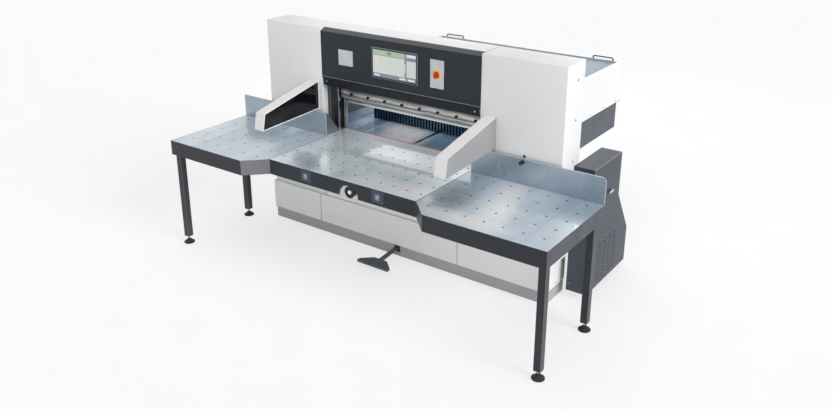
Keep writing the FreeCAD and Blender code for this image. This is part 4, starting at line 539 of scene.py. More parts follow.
# A form in the making. Each ring is a row of points; what is added wears the finish set last.
class Shape:
    def __init__(self, finish):
        self.work = bmesh.new()
        self.worn = []
        self.wear(finish)

    def wear(self, finish):
        if finish not in self.worn:
            self.worn.append(finish)
        self.coat = self.worn.index(finish)
        return self

    def skin(self, rings, looped=False, capped=True):
        rows = [[self.work.verts.new(point) for point in ring] for ring in rings]
        count = len(rows[0])
        pairs = list(zip(rows, rows[1:] + rows[:1])) if looped else list(zip(rows, rows[1:]))
        made = [self.work.faces.new((near[i], near[(i + 1) % count], far[(i + 1) % count], far[i]))
                for near, far in pairs for i in range(count)]
        if capped and not looped:
            made += [self.work.faces.new(rows[0]), self.work.faces.new(rows[-1])]
        for face in made:
            face.material_index = self.coat
        return self

    def framed(self, outlines, axis="Y", **options):
        # rings of (place along the axis, outline)
        return self.skin([[onAxis(axis, place, *point) for point in outline] for place, outline in outlines],
                         **options)

    def plate(self, box, front, steps, **options):
        # rings of (depth behind the front, inset from the box, radius of the corners)
        return self.framed([(front + depth, roundedBox(*grown(box, -inset), radius)) for depth, inset, radius in steps],
                           **options)

    def block(self, low, high):
        outline = [(low[0], low[1]), (high[0], low[1]), (high[0], high[1]), (low[0], high[1])]
        return self.framed([(low[2], outline), (high[2], outline)], "Z")

    def turned(self, profile, centre, steps=32, axis="Y", looped=False):
        # a profile of (place along the axis, radius) about a centre
        rings = [[Vector(centre) + onAxis(axis, along, *spoke(radius, step / steps)) for step in range(steps)]
                 for along, radius in profile]
        return self.skin(rings, looped)

    def swept(self, path, radius, steps=14):
        rings = []
        side = (Vector(path[1]) - Vector(path[0])).orthogonal().normalized()
        for index, point in enumerate(path):
            ahead = Vector(path[min(index + 1, len(path) - 1)]) - Vector(path[max(index - 1, 0)])
            side = (side - ahead * side.dot(ahead) / ahead.length_squared).normalized()
            other = ahead.normalized().cross(side)
            rings.append([Vector(point) + side * a + other * b
                          for a, b in (spoke(radius, step / steps) for step in range(steps))])
        return self.skin(rings)

    def piece(self, name, body, slotName, edge=0.0, smooth=34, replaced=()):
        bmesh.ops.remove_doubles(self.work, verts=self.work.verts, dist=1e-7)
        bmesh.ops.recalc_face_normals(self.work, faces=self.work.faces)
        mesh = meshFrom(self.work, name, [finishes[finish] for finish in self.worn])
        if edge:
            mesh, smooth = beveled(mesh, edge), None
        return settle(name, mesh, body, smooth, replaced)

    def seed(self):
        # a loose object that the repeats copy
        bmesh.ops.recalc_face_normals(self.work, faces=self.work.faces)
        return looseObject("seed", meshFrom(self.work, "seed"))


def meshFrom(shape, name, materials=()):
    mesh = bpy.data.meshes.new(name)
    shape.to_mesh(mesh)
    shape.free()
    for material in materials:
        mesh.materials.append(material)
    return mesh


def looseObject(name, mesh):
    item = bpy.data.objects.new(name, mesh)
    bpy.context.scene.collection.objects.link(item)
    return item


def modify(item, name, kind, **settings):
    modifier = item.modifiers.new(name, kind)
    for key, value in settings.items():
        setattr(modifier, key, value)
    return modifier


def plainMesh(item):
    # an object with its modifiers worked in, as a mesh of its own; the object goes
    evaluated = item.evaluated_get(bpy.context.evaluated_depsgraph_get())
    mesh = bpy.data.meshes.new_from_object(evaluated)
    bpy.data.objects.remove(item)
    return mesh


def smoothed(mesh, angle):
    for face in mesh.polygons:
        face.use_smooth = True
    mesh.set_sharp_from_angle(angle=math.radians(angle))


def beveled(mesh, width, edgeSlot=-1, share=None, angle=30):
    # round edges, with the flat faces left flat in their shading; edgeSlot is the material slot of the rounds,
    # and share gives the part of the width that an edge gets
    smoothed(mesh, angle)
    if share:
        shape = bmesh.new()
        shape.from_mesh(mesh)
        weight = shape.edges.layers.float.new("bevel_weight_edge")
        for edge in shape.edges:
            if len(edge.link_faces) == 2 and edge.calc_face_angle() > math.radians(angle):
                edge[weight] = share(edge)
        shape.to_mesh(mesh)
        shape.free()
    draft = looseObject(mesh.name + "Draft", mesh)
    modify(draft, "edge", "BEVEL", width=width, segments=2, limit_method="WEIGHT" if share else "ANGLE",
           material=edgeSlot, angle_limit=math.radians(angle))
    modify(draft, "weigh", "WEIGHTED_NORMAL", keep_sharp=True)
    return plainMesh(draft)


def settle(name, mesh, body, smooth=34, replaced=()):
    piece = looseObject(name, mesh)
    if smooth:
        smoothed(mesh, smooth)
    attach(piece, body)
    if replaced:
        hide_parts(*replaced)
    return piece


def mergedCopy(name):
    # the node's shape as a working mesh of joined faces
    shape = bmesh.new()
    shape.from_mesh(nodes[name].data)
    bmesh.ops.remove_doubles(shape, verts=shape.verts, dist=1e-6)
    return shape


def patches(name, wanted):
    # groups of joined faces of a node that all pass the test, each as its lowest and highest corner, in the order
    # of their lowest corners
    shape = mergedCopy(name)
    left = {face for face in shape.faces if wanted(face)}
    boxes = []
    while left:
        group = [left.pop()]
        for face in group:
            for edge in face.edges:
                for other in edge.link_faces:
                    if other in left:
                        left.remove(other)
                        group.append(other)
        points = [vert.co for face in group for vert in face.verts]
        boxes.append(tuple(Vector([pick(point[axis] for point in points) for axis in range(3)])
                           for pick in (min, max)))
    shape.free()
    return sorted(boxes, key=lambda box: tuple(box[0]))


def solidBoxes(name):
    return patches(name, lambda face: True)


def holesOf(name, axis, largest):
    # the box of every hole that runs along an axis and is no wider than largest
    return [(low, high) for low, high in patches(name, lambda face: abs(face.normal[axis]) < 0.3)
            if max(size for index, size in enumerate(high - low) if index != axis) < largest]


def middle(box):
    return (box[0] + box[1]) / 2


def frontOf(box):
    # the outline of a box as it is seen from the front
    low, high = box
    return low.x, high.x, low.z, high.z


# Copies of sheet and cast nodes whose edges get the small radius of a fold or of a broken edge.
softEdges = {
    "white_paint": {"top_cover": 0.0040, "lower_panels": 0.002, "apron": 0.001, "rear_side_walls": 0.0015,
                    "rear_wall": 0.001, "plinth": 0.0015},
    "light_grey_paint": {"arm_housings": 0.003},
    "dark_paint": {"fascia": 0.0015, "knife_flap": 0.001, "front_bar": 0.0015, "left_table_frame": 0.007,
                   "right_table_frame": 0.007},
    "graphite_paint": {"cabinet_body": 0.0025, "cabinet_door": 0.0014, "foot_pedal": 0.003},
    "table_steel": {"left_guard": 0.0012, "right_guard": 0.0012},
    "bright_steel": {"clamp_beam": 0.0015, "knife_carrier": 0.002},
    "guide_steel": {"throat_guides": 0.002},
    "frame_iron": {"gauge_motor": 0.004, "upper_beam": 0.003, "side_frames": 0.004},
    "stick_red": {"cutting_stick": 0.0008},
    "black_gloss": {"light_curtain_windows": 0.001},
}
# Tests of a face's normal and centre, for faces that wear a finish of their own: the rims in the tables' plane are
# steel like the plates, the slope along the fascia's crest is a little lighter, the arms' outer sides are pale grey.
tableLevel, crestLevel = 0.899, 1.75
louvreField = {"front": 0.14, "back": 0.52, "bottom": 0.10, "top": 0.44}


def inLouvres(point):
    return (louvreField["front"] < point.y < louvreField["back"]
            and louvreField["bottom"] < point.z < louvreField["top"])


faceTests = {
    "tablePlane": lambda normal, centre: normal.z > 0.9 and centre.z > tableLevel,
    "crest": lambda normal, centre: normal.z > 0.3 and centre.z > crestLevel,
    "outerSide": lambda normal, centre: normal.x * centre.x > 0.7,
    "innerSide": lambda normal, centre: normal.x * centre.x < -0.6,
    "front": lambda normal, centre: normal.y < -0.9,
    "right": lambda normal, centre: normal.x > 0.9,
    "cutCorner": lambda normal, centre: normal.x > 0.5 and normal.y < -0.5,
    "sheetEdge": lambda normal, centre: abs(normal.x) < 0.3 and not inLouvres(centre),
}
secondFinish = {
    # painted light: the frames' right faces and the left frame's cut corner wear lighter paint
    "left_table_frame": {"tablePlane": "leftSteel", "cutCorner": "returnPaint", "right": "sidePaint"},
    "right_table_frame": {"tablePlane": "tableSteel", "right": "sidePaint"},
    "front_bar": {"tablePlane": "frontSteel"}, "fascia": {"crest": "crestPaint"},
    # painted shade: the side frames' inner faces wear near-black paint
    "arm_housings": {"outerSide": "palePaint"}, "side_frames": {"innerSide": "castDark"},
    # painted shade on the rear side walls' inner faces; painted light with a bluish shade tint on the rear wall's inner
    # face
    "rear_side_walls": {"innerSide": "innerPaint"}, "rear_wall": {"front": "wallPaint"},
    # painted highlight: the door's sheet edges
    "cabinet_door": {"sheetEdge": "edgePaint"},
}
# The rounds along the edges of these nodes are painted lighter, as a painted highlight where they catch the light; on
# the top cover they are dark grey.
edgeFinish = {"left_table_frame": "edgePaint", "right_table_frame": "edgePaint", "front_bar": "edgePaint",
              "cabinet_body": "edgePaint", "cabinet_door": "edgePaint", "knife_flap": "edgePaint",
              "left_guard": "edgeSteel", "right_guard": "edgeSteel", "top_cover": "sealGrey"}
# the width of the guards' painted highlight
rims = {"guards": ("left_guard", "right_guard"), "width": 0.004}
# The share of the radius that an edge gets: none at the small faces of a louvre slot, and a part of it where an edge
# of a frame is shorter than a leg.
edgeRules = {"smallFace": 0.0015, "legLength": 0.5, "shortShare": 0.25}


def exceptSlots(edge):
    return float(min(face.calc_area() for face in edge.link_faces) > edgeRules["smallFace"])


def mostlyLegs(edge):
    first, second = (vert.co for vert in edge.verts)
    return 1.0 if abs(first.z - second.z) > edgeRules["legLength"] else edgeRules["shortShare"]


edgeShare = {"cabinet_door": exceptSlots, "left_table_frame": mostlyLegs, "right_table_frame": mostlyLegs}


def brightRim(shape, slot, width):
    # the guards' fronts get a narrow painted highlight along their top and their ends
    fronts = [face for face in shape.faces if face.normal.y < -0.5]
    foot = min(vert.co.z for vert in shape.verts)
    for face in bmesh.ops.inset_region(shape, faces=fronts, thickness=width, use_even_offset=True)["faces"]:
        if face.calc_center_median().z > foot + width:
            face.material_index = slot


def softenEdges(name, width):
    shape = mergedCopy(name)
    bmesh.ops.dissolve_limit(shape, angle_limit=math.radians(0.5), verts=shape.verts, edges=shape.edges)
    worn = [finishOf[name]]
    for test, finish in secondFinish.get(name, {}).items():
        for face in shape.faces:
            if faceTests[test](face.normal, face.calc_center_median()):
                face.material_index = len(worn)
        worn.append(finishes[finish])
    edgeSlot = -1
    if name in edgeFinish:
        edgeSlot = len(worn)
        worn.append(finishes[edgeFinish[name]])
    if name in rims["guards"]:
        brightRim(shape, edgeSlot, rims["width"])
    mesh = beveled(meshFrom(shape, name + "Soft", worn), width, edgeSlot, edgeShare.get(name))
    settle(name + "_soft", mesh, nodes[name]["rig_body"], None, (name,))


for slotName, widths in softEdges.items():
    for name, width in widths.items():
        softenEdges(name, width)
print("softened edges")

# The column covers: folded sheet around three corners, open below and inward behind a narrow flange.
columnCovers = {"sheet": 0.004, "fold": 0.005, "flange": 0.06}


def columnCover(node, sheet, fold, flange):
    low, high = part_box(node)
    inner, outer = sorted((low.x, high.x), key=abs)
    front, back = low.y, high.y
    shape = bmesh.new()
    rows = [[shape.verts.new((x, y, z)) for x, y in
             ((inner, front + flange), (inner, front), (outer, front), (outer, back), (inner, back))]
            for z in (low.z, high.z)]
    for first, second in zip(range(4), range(1, 5)):
        shape.faces.new((rows[0][first], rows[0][second], rows[1][second], rows[1][first]))
    shape.faces.new(rows[1])
    bmesh.ops.recalc_face_normals(shape, faces=shape.faces)
    centre = middle((low, high))
    if sum((face.calc_center_median() - centre).dot(face.normal) for face in shape.faces) < 0:
        bmesh.ops.reverse_faces(shape, faces=shape.faces)
    draft = looseObject(node + "Draft", meshFrom(shape, node + "Sheet", [finishes["whitePaint"]]))
    modify(draft, "folds", "BEVEL", width=fold, segments=4, limit_method="ANGLE")
    modify(draft, "sheet", "SOLIDIFY", thickness=sheet, offset=-1, use_even_offset=True)
    settle(node + "_folded", plainMesh(draft), "machine", 40, (node,))


for node in ("left_column_cover", "right_column_cover"):
    columnCover(node, **columnCovers)


# Repeated small parts: a node group sets one copy of a seed on every point of its host.
# The host's points carry their own tilt; each copy is spun about its axis by a seeded chance.
def buildRepeat():
    group = bpy.data.node_groups.new("repeatSeed", "GeometryNodeTree")
    sockets = {"Points": "Geometry", "Seed part": "Object", "Size": "Float", "Spin": "Float", "Chance": "Int",
               "Finish": "Material"}
    for name, kind in sockets.items():
        group.interface.new_socket(name, in_out="INPUT", socket_type="NodeSocket" + kind)
    group.interface.new_socket("Parts", in_out="OUTPUT", socket_type="NodeSocketGeometry")
    book = NodeBook(group)
    points, seed, size, spin, chance, finish = book.node("NodeGroupInput").siblings()[:len(sockets)]
    part = book.node("GeometryNodeObjectInfo", {}, {"Object": seed}, "Geometry")
    tilt = book.node("GeometryNodeInputNamedAttribute", {"data_type": "FLOAT_VECTOR"}, {"Name": "tilt"})
    aim = book.node("FunctionNodeEulerToRotation", {}, {0: tilt})
    copies = book.node("GeometryNodeInstanceOnPoints", {},
                       {"Points": points, "Instance": part, "Rotation": aim, "Scale": size})
    # socket 3 and output 1 are the upper limit and the value of a random number
    turn = book.node("FunctionNodeRandomValue", {"data_type": "FLOAT"}, {3: spin, "Seed": chance}, 1)
    turn = book.node("ShaderNodeCombineXYZ", {}, {"Z": turn})
    spun = book.node("GeometryNodeRotateInstances", {}, {"Instances": copies, "Rotation": turn})
    real = book.node("GeometryNodeRealizeInstances", {}, {0: spun})
    coated = book.node("GeometryNodeSetMaterial", {}, {"Geometry": real, "Material": finish})
    book.node("NodeGroupOutput", {}, {"Parts": coated})
    return group


repeatSeed = buildRepeat()
facing = {"up": (0, 0, 0), "front": (math.pi / 2, 0, 0), "back": (-math.pi / 2, 0, 0),
          "right": (0, math.pi / 2, 0), "left": (0, -math.pi / 2, 0)}


def repeated(name, seed, places, finish, body, spin=0.0, smooth=34, replaced=()):
    # places are (point, side that the part faces)
    mesh = bpy.data.meshes.new(name + "Points")
    mesh.from_pydata([place for place, side in places], [], [])
    tilt = mesh.attributes.new("tilt", "FLOAT_VECTOR", "POINT")
    for entry, (place, side) in zip(tilt.data, places):
        entry.vector = facing[side]
    host = looseObject(name + "Host", mesh)
    modifier = modify(host, "repeat", "NODES", node_group=repeatSeed)
    values = {"Seed part": seed, "Size": 1.0, "Spin": spin, "Chance": 7, "Finish": finishes[finish]}
    for item in repeatSeed.interface.items_tree:
        if item.name in values:
            modifier[item.identifier] = values[item.name]
    made = plainMesh(host)
    made.materials.clear()
    made.materials.append(finishes[finish])
    bpy.data.objects.remove(seed)
    settle(name, made, body, smooth, replaced)
    print(name + ":", len(places))


def row(start, end, count):
    return [Vector(start).lerp(Vector(end), index / (count - 1)) for index in range(count)]


# Air valves: a pressed-in bush, as (height above the plate, radius), with a ball in every hole of the table plates.
airValve = {"bush": [(-0.002, 0.0046), (-0.0006, 0.0046), (0.0002, 0.0058), (0.0002, 0.0083), (-0.0001, 0.0086)],
            "ball": 0.0044, "ballDrop": 0.0046, "ballTip": 0.0004, "ballRings": 5, "largestHole": 0.02}


def airValves(bush, ball, ballDrop, ballTip, ballRings, largestHole):
    places = []
    for node in ("front_table", "left_table_plate", "right_table_plate", "rear_tables"):
        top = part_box(node)[1].z
        places += [(Vector((*middle(box)[:2], top)), "up") for box in holesOf(node, 2, largestHole)]
    bushes = Shape("blackSteel").turned(bush, (0, 0, 0), 12, "Z")
    repeated("valve_bushes", bushes.seed(), places, "bushSteel", "machine")
    turns = [math.pi * (ring / ballRings - 0.5) * 0.98 for ring in range(1, ballRings + 1)]
    dome = [(ball * math.sin(turn) - ballDrop, max(ball * math.cos(turn), ballTip)) for turn in turns]
    balls = Shape("ballSteel").turned(dome, (0, 0, 0), 8, "Z")
    repeated("valve_balls", balls.seed(), places, "ballSteel", "machine", smooth=80)


airValves(**airValve)

# Screws of the sheet covers: low round heads with a hexagon socket.
sheetScrew = {"head": 0.0062, "height": 0.0030, "socket": 0.0028}
coverScrew = {"head": 0.0078, "height": 0.0037, "socket": 0.0032}
# Their rows, as distances from the edges of each sheet.
screwRows = {
    "sheetEdge": 0.02, "baseSpans": ((-1.32, -0.30), (0.30, 1.32)), "topSpan": 0.71,
    "columnSide": 0.03, "columnFoot": 0.6, "columnTop": 0.05, "wallFoot": 0.022, "wallFront": 0.06, "wallBack": 0.1,
    "panelEdge": 0.03, "panelFront": 0.04, "cabinetAcross": (1.43, 1.54), "cabinetLevels": (0.12, 0.97),
    "cabinetInset": 0.0141,
}


def screwSeed(head, height, socket):
    outer = [(0.0, head), (height * 0.45, head), (height * 0.85, head * 0.8), (height, head * 0.55)]
    hexagon = [(height + 0.0001, socket), (height * 0.35, socket * 0.9)]
    return Shape("zincScrew").turned(outer, (0, 0, 0), 12, "Z").turned(hexagon, (0, 0, 0), 6, "Z").seed()


def panelScrews(sheetEdge, baseSpans, topSpan, columnSide, columnFoot, columnTop, wallFoot, wallFront, wallBack,
                panelEdge, panelFront, cabinetAcross, cabinetLevels, cabinetInset):
    places = []

    def add(side, start, end, count):
        places.extend((point, side) for point in row(start, end, count))

    for node, spans, count in (("rear_base_cover", baseSpans, 4), ("top_cover", ((-topSpan, topSpan),), 6)):
        low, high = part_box(node)
        for z in (low.z + sheetEdge, high.z - sheetEdge):
            for start, end in spans:
                add("back", (start, high.y, z), (end, high.y, z), count)
    for node in ("left_column_cover", "right_column_cover"):
        low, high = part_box(node)
        for x in (low.x + columnSide, high.x - columnSide):
            add("back", (x, high.y, low.z + columnFoot), (x, high.y, high.z - columnTop), 4)
    for low, high in solidBoxes("rear_side_walls"):
        outer, side = (low.x, "left") if low.x < 0 else (high.x, "right")
        level = low.z + wallFoot
        add(side, (outer, low.y + wallFront, level), (outer, high.y - wallBack, level), 7)
    low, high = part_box("lower_panels")
    for outer, side in ((low.x, "left"), (high.x, "right")):
        for z in (low.z + panelEdge, high.z - panelEdge):
            add(side, (outer, low.y + panelFront, z), (outer, high.y - panelEdge, z), 3)
    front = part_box("cabinet_body")[0].y + cabinetInset
    for z in cabinetLevels:
        add("front", (cabinetAcross[0], front, z), (cabinetAcross[1], front, z), 2)
    repeated("panel_screws", screwSeed(**sheetScrew), places, "zincScrew", "machine", spin=1.0)


def coverScrews():
    places = [(Vector((low.x if low.x > 0 else high.x, *middle((low, high))[1:])), "right" if low.x > 0 else "left")
              for low, high in solidBoxes("cover_screws")]
    repeated("cover_screw_heads", screwSeed(**coverScrew), places, "zincScrew", "machine", spin=1.0,
             replaced=("cover_screws",))


panelScrews(**screwRows)
coverScrews()

# The monitor: a bezel that slopes in to the screen, with a thin bright trim round it.
monitorCase = {"corner": 0.006, "chamfer": 0.0012, "slope": 0.0024, "sunk": 0.0018, "gap": 0.0003, "trim": 0.0016,
               "trimFront": 0.0024, "innerCorners": (0.003, 0.001)}


def monitor(corner, chamfer, slope, sunk, gap, trim, trimFront, innerCorners):
    housing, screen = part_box("monitor_housing"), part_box("monitor_screen")
    front, back = housing[0].y, housing[1].y
    outline = frontOf(housing)
    opening = grown(frontOf(screen), gap)
    outer, inner = innerCorners
    rings = [(back, outline, corner), (front + chamfer, outline, corner),
             (front, grown(outline, -chamfer), corner - chamfer * 0.5), (front, grown(opening, slope), outer),
             (front + sunk, opening, inner), (screen[1].y + 0.0001, opening, inner)]
    case = Shape("bezelPlastic").framed([(place, roundedBox(*box, radius)) for place, box, radius in rings])
    case.piece("monitor_case", "machine", "black_plastic", smooth=30, replaced=("monitor_housing",))
    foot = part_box("fascia")[0].y + gap - front
    border = Shape("satinAlu").plate(outline, front, [(foot, 0, corner), (foot, -trim, corner),
                                                      (trimFront, -trim, corner), (sunk, 0, corner)], looped=True)
    border.piece("monitor_trim", "machine", "alu", smooth=30)


monitor(**monitorCase)

# Plates on the fascia and the front bar, each with a chamfered edge and a sunk field, as (finish, finish of the
# field, slot, margin and depth of the field, nodes replaced), in the order from the lowest and leftmost.
plates = {
    "left_key_plate": ("plateSlate", "keyDark", "alu", 0.006, 0.0008, ()),
    "right_key_plate": ("plateSlate", "keyDark", "alu", 0.006, 0.0008, ()),
    "switch_plate": ("platePale", "platePale", "pale_plastic", 0.008, 0.0006, ("control_plates",)),
    "service_plate": ("platePale", "platePale", "pale_plastic", 0.008, 0.0006, ()),
}
plateSizes = {"corner": 0.003, "fieldCorner": 0.0018, "edge": 0.0008}
plateBoxes = dict(zip(plates, sorted(solidBoxes("control_plates"), key=lambda box: (box[0].z, box[0].x))))


def controlPlate(name, finish, inside, slotName, margin, depth, replaced, corner, fieldCorner, edge):
    front, back = (point.y for point in plateBoxes[name])
    box, thick = frontOf(plateBoxes[name]), back - front
    plate = Shape(finish).plate(box, front, [
        (thick, 0, corner), (edge, 0, corner), (0, edge, corner), (0, margin, fieldCorner),
        (depth, margin, fieldCorner)], capped=False)
    plate.wear(inside).plate(box, front, [(depth, margin, fieldCorner), (thick, margin, fieldCorner)])
    plate.piece(name, "machine", slotName, smooth=30, replaced=replaced)


for name in ("service_plate", "switch_plate", "left_key_plate", "right_key_plate"):
    controlPlate(name, *plates[name], **plateSizes)

# The cut keys: dished, with a pale inlay. Steps are (depth behind the front, inset, radius of the corners).
keySizes = {"corner": 0.006,
            "steps": [(0.0016, 0, 0.006), (0, 0.0016, 0.0052), (0, 0.006, 0.003), (0.0012, 0.009, 0.003)],
            "inlay": [(0.0014, 0.0135, 0.002), (0.0006, 0.0145, 0.0015)]}


def cutKey(side, corner, steps, inlay):
    node = side + "_cut_button"
    low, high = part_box(node)
    box = frontOf((low, high))
    key = Shape("keyBlue").plate(box, low.y, [(high.y - low.y, 0, corner)] + steps)
    key.wear("keyPale").plate(box, low.y, inlay)
    key.piece(side + "_cut_key", side + "_button", "button_blue", smooth=30, replaced=(node,))


for side in ("left", "right"):
    cutKey(side, **keySizes)

# The main switch: a round skirt, as (depth behind its foot, radius), with a grip, on a yellow square. The grip's
# steps are (depth behind its front, half width, reach, radius of the corners), the first one from the skirt's front.
mainSwitch = {"square": 0.033, "squareFront": 0.0020, "squareSteps": [(0.0026, 0, 0.005), (0.0008, 0, 0.005),
                                                                     (0, 0.0008, 0.005)],
              "standOff": 0.0022, "skirt": [(0, 0.004), (0, 0.0255), (-0.005, 0.0255), (-0.010, 0.02193),
                                            (-0.010, 0.014025)],
              "gripFoot": (-0.008, 0.0085, 0.0235, 0.00765),
              "grip": [(0.003, 0.00731, 0.0235, 0.0068), (0.0008, 0.00595, 0.02256, 0.005525),
                       (0, 0.00425, 0.02115, 0.003825)],
              "mark": ((-0.001, -0.00001, 0.010575), (0.001, 0.001, 0.019975))}


def mainSwitchHandle(square, squareFront, squareSteps, standOff, skirt, gripFoot, grip, mark):
    low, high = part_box("main_switch_knob")
    x, _, z = middle((low, high))
    plate = plateBoxes["switch_plate"][0].y
    escutcheon = Shape("yellowPlastic").plate(grown((x, x, z, z), square), plate - squareFront, squareSteps)
    escutcheon.piece("switch_escutcheon", "machine", "pale_plastic", smooth=30)
    foot = plate - standOff
    handle = Shape("redPlastic").turned(behind(foot, skirt, high.y), (x, 0, z), 40)
    handle.framed([(start + depth, roundedBox(x - half, x + half, z - reach, z + reach, corner, 6))
                   for start, steps in ((foot, [gripFoot]), (low.y, grip)) for depth, half, reach, corner in steps])
    front = Vector((x, low.y, z))
    handle.wear("platePale").block(*(front + Vector(corner) for corner in mark))
    handle.piece("main_switch_handle", "switch", "red_plastic", replaced=("main_switch_knob",))


mainSwitchHandle(**mainSwitch)
print("monitor, plates and switches")

# The handwheel in the front bar's notch: a round rim on three spokes and a black web, with a pale hub. Depths count
# from the wheel's front.
wheelSizes = {"rimRadius": 0.0055, "rimDepth": 0.007, "spokes": 3, "spokeRadius": 0.0035, "spokeDepth": 0.008,
              "spokeStart": 0.01155, "web": (0.0105, 0.0135), "webStart": 0.0132,
              "hub": [(0.015, 0.006), (0.015, 0.0165), (0.005, 0.0165), (0.002, 0.0132), (0.002, 0.00495)]}


def handwheel(rimRadius, rimDepth, spokes, spokeRadius, spokeDepth, spokeStart, web, webStart, hub):
    low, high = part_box("handwheel")
    x, _, z = middle((low, high))
    front = low.y
    mid = (high.x - low.x) / 2 - rimRadius
    rim = [(front + rimDepth + b, mid + a) for a, b in (spoke(rimRadius, step / 12) for step in range(12))]
    wheel = Shape("blackPlastic").turned(rim, (x, 0, z), 48, looped=True)
    for number in range(spokes):
        a, b = spoke(1, number / spokes + 0.25)
        wheel.swept([Vector((x + a * reach, front + spokeDepth, z + b * reach)) for reach in (spokeStart, mid - 0.001)],
                    spokeRadius, 10)
    near, far = (front + depth for depth in web)
    wheel.turned([(far, webStart), (far, mid), (near, mid), (near, webStart)], (x, 0, z), 40, looped=True)
    wheel.wear("wheelHub").turned(behind(front, hub, high.y), (x, 0, z), 28)
    wheel.piece("handwheel_rim", "wheel", "chrome", smooth=50, replaced=("handwheel",))


handwheel(**wheelSizes)

# Levelling feet: a rubber cone, as (level, radius), under a threaded stem with a lock nut near its top.
footSizes = {"stem": 0.0065, "root": 0.0056, "pitch": 0.0015, "threadFoot": 0.034,
             "nut": [(-0.008, 0.01125), (-0.007, 0.0125), (-0.002, 0.0125), (-0.001, 0.01125)],
             "cone": [(0.0, 0.0405), (0.003, 0.0435), (0.009, 0.0438), (0.012, 0.040), (0.018, 0.031), (0.026, 0.021),
                      (0.033, 0.0155), (0.036, 0.0145), (0.037, 0.0125), (0.037, 0.006)]}


def levellingFeet(stem, root, pitch, threadFoot, nut, cone):
    feet = Shape("rubberBlack")
    for low, high in solidBoxes("levelling_feet"):
        base = (*middle((low, high))[:2], 0)
        turns = []
        level = threadFoot
        while level < high.z - pitch * 0.4:
            turns += [(level, stem), (level + pitch / 3, root), (level + pitch / 1.5, stem)]
            level += pitch
        feet.wear("rubberBlack").turned(cone, base, 36, "Z")
        feet.wear("brightChrome").turned(turns + [(high.z, stem)], base, 14, "Z")
        feet.wear("zincScrew").turned(behind(high.z, nut), base, 6, "Z")
    feet.piece("feet", "machine", "black_plastic", replaced=("levelling_feet",))


levellingFeet(**footSizes)

# The thumb screw on the right guard, with a knurled head on a round neck, and the blind plug above it. The foot and
# the head are (depth behind the guard or behind its own front, how much less than the full radius), the neck and the
# plug (depth behind the sheet, radius).
thumbScrew = {"lobes": 24, "knurl": 0.0007, "foot": [(-0.0075, 0.003), (-0.009, 0.0)],
              "head": [(0.003, 0.0), (0.0005, 0.0025), (0.0, 0.006), (0.0, 0.009), (0.0012, 0.0095)],
              "neck": [(0.0, 0.004), (-0.0003, 0.009), (-0.008, 0.0085)]}
columnPlug = {"place": (1.114, 1.102), "steps": [(0.001, 0.0105), (-0.002, 0.0105), (-0.004, 0.00861),
                                                 (-0.004, 0.00525), (-0.0028, 0.00441)]}


def knurledScrew(lobes, knurl, foot, head, neck):
    low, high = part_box("guard_knob")
    x, _, z = middle((low, high))
    radius = (high.x - low.x) / 2
    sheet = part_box("right_guard")[0].y

    def ring(size):
        turns = [spoke(size - (knurl if step % 2 else 0), step / lobes / 2) for step in range(lobes * 2)]
        return [(x + a, z + b) for a, b in turns]

    screw = Shape("blackPlastic").framed([(place, ring(radius - less))
                                          for place, less in behind(sheet, foot) + behind(low.y, head)])
    screw.turned(behind(sheet, neck, high.y), (x, 0, z), 20)
    screw.piece("thumb_screw_head", "thumb_screw", "black_plastic", smooth=30, replaced=("guard_knob",))


def blindPlug(place, steps):
    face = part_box("right_column_cover")[0].y
    plug = Shape("blackPlastic").turned(behind(face, steps), (place[0], 0, place[1]), 28)
    plug.piece("column_plug", "machine", "black_plastic")


knurledScrew(**thumbScrew)
blindPlug(**columnPlug)

# Bail handles of the rear wall, on round rosettes of (level above the wall's top, radius).
bail = {"radius": 0.0056, "inset": 0.0061, "bend": 0.016,
        "rosette": [(0.0001, 0.010), (0.0012, 0.010), (0.0022, 0.0066)]}


def bails(radius, inset, bend, rosette):
    handles = Shape("blackSteel")
    for low, high in solidBoxes("rear_handles"):
        y = (low.y + high.y) / 2
        left, right, top = low.x + inset, high.x - inset, high.z - radius
        handles.swept(bentPath([(left, y, low.z), (left, y, top), (right, y, top), (right, y, low.z)], bend), radius)
        for x in (left, right):
            handles.turned(behind(low.z, rosette), (x, y, 0), 20, "Z")
    handles.piece("bail_handles", "back_wall", "black_plastic", smooth=50, replaced=("rear_handles",))


bails(**bail)

# The cable gland: a domed nut with ribs round its shoulder, with the bore left open. The collar and the dome are (place
# from the cabinet's wall or from the gland's end, radius).
gland = {"bore": 0.010, "tube": 0.8, "collar": 0.98, "nut": 0.0175, "ribs": 16, "ribPlace": 0.0065,
         "rib": Vector((0.0009, 0.0035, 0.0009)), "shoulder": [(0.0025, 0.0175), (0.010, 0.0175), (0.011, 0.01645)],
         "dome": [(-0.008, 0.01575), (-0.003, 0.01435), (0.0, 0.01225)]}


def cableGland(bore, tube, collar, nut, ribs, ribPlace, rib, shoulder, dome):
    low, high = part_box("cable_gland")
    x, _, z = middle((low, high))
    outside = (high.x - low.x) / 2
    tube, collar = outside * tube, outside * collar
    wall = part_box("cabinet_body")[1].y
    profile = [(low.y, bore), (low.y, tube), (wall, tube), (wall, collar), (wall + 0.002, collar)]
    profile += behind(wall, shoulder) + behind(high.y, dome) + [(high.y, bore)]
    body = Shape("blackPlastic").turned(profile, (x, 0, z), looped=True)
    body.piece("cable_gland_nut", "machine", "black_plastic", replaced=("cable_gland",))
    places = [(Vector((x + a, wall + ribPlace, z + b)), "up")
              for a, b in (spoke(nut + 0.0002, step / ribs) for step in range(ribs))]
    repeated("cable_gland_ribs", Shape("blackPlastic").block(-rib, rib).seed(), places, "blackPlastic", "machine")


cableGland(**gland)
print("wheel, feet, handles and gland")

# Raised studs on the pedal's tread, kept inside its tapered outline. The row pitch is a share of the pitch, so that
# neighbours in the staggered rows are equally far apart.
treadStuds = {"pitch": 0.0125, "rowPitch": 0.87, "radius": 0.0036, "height": 0.0014, "margin": 0.012,
              "front": 0.032, "neck": 0.126, "depth": 0.112, "level": 0.056}


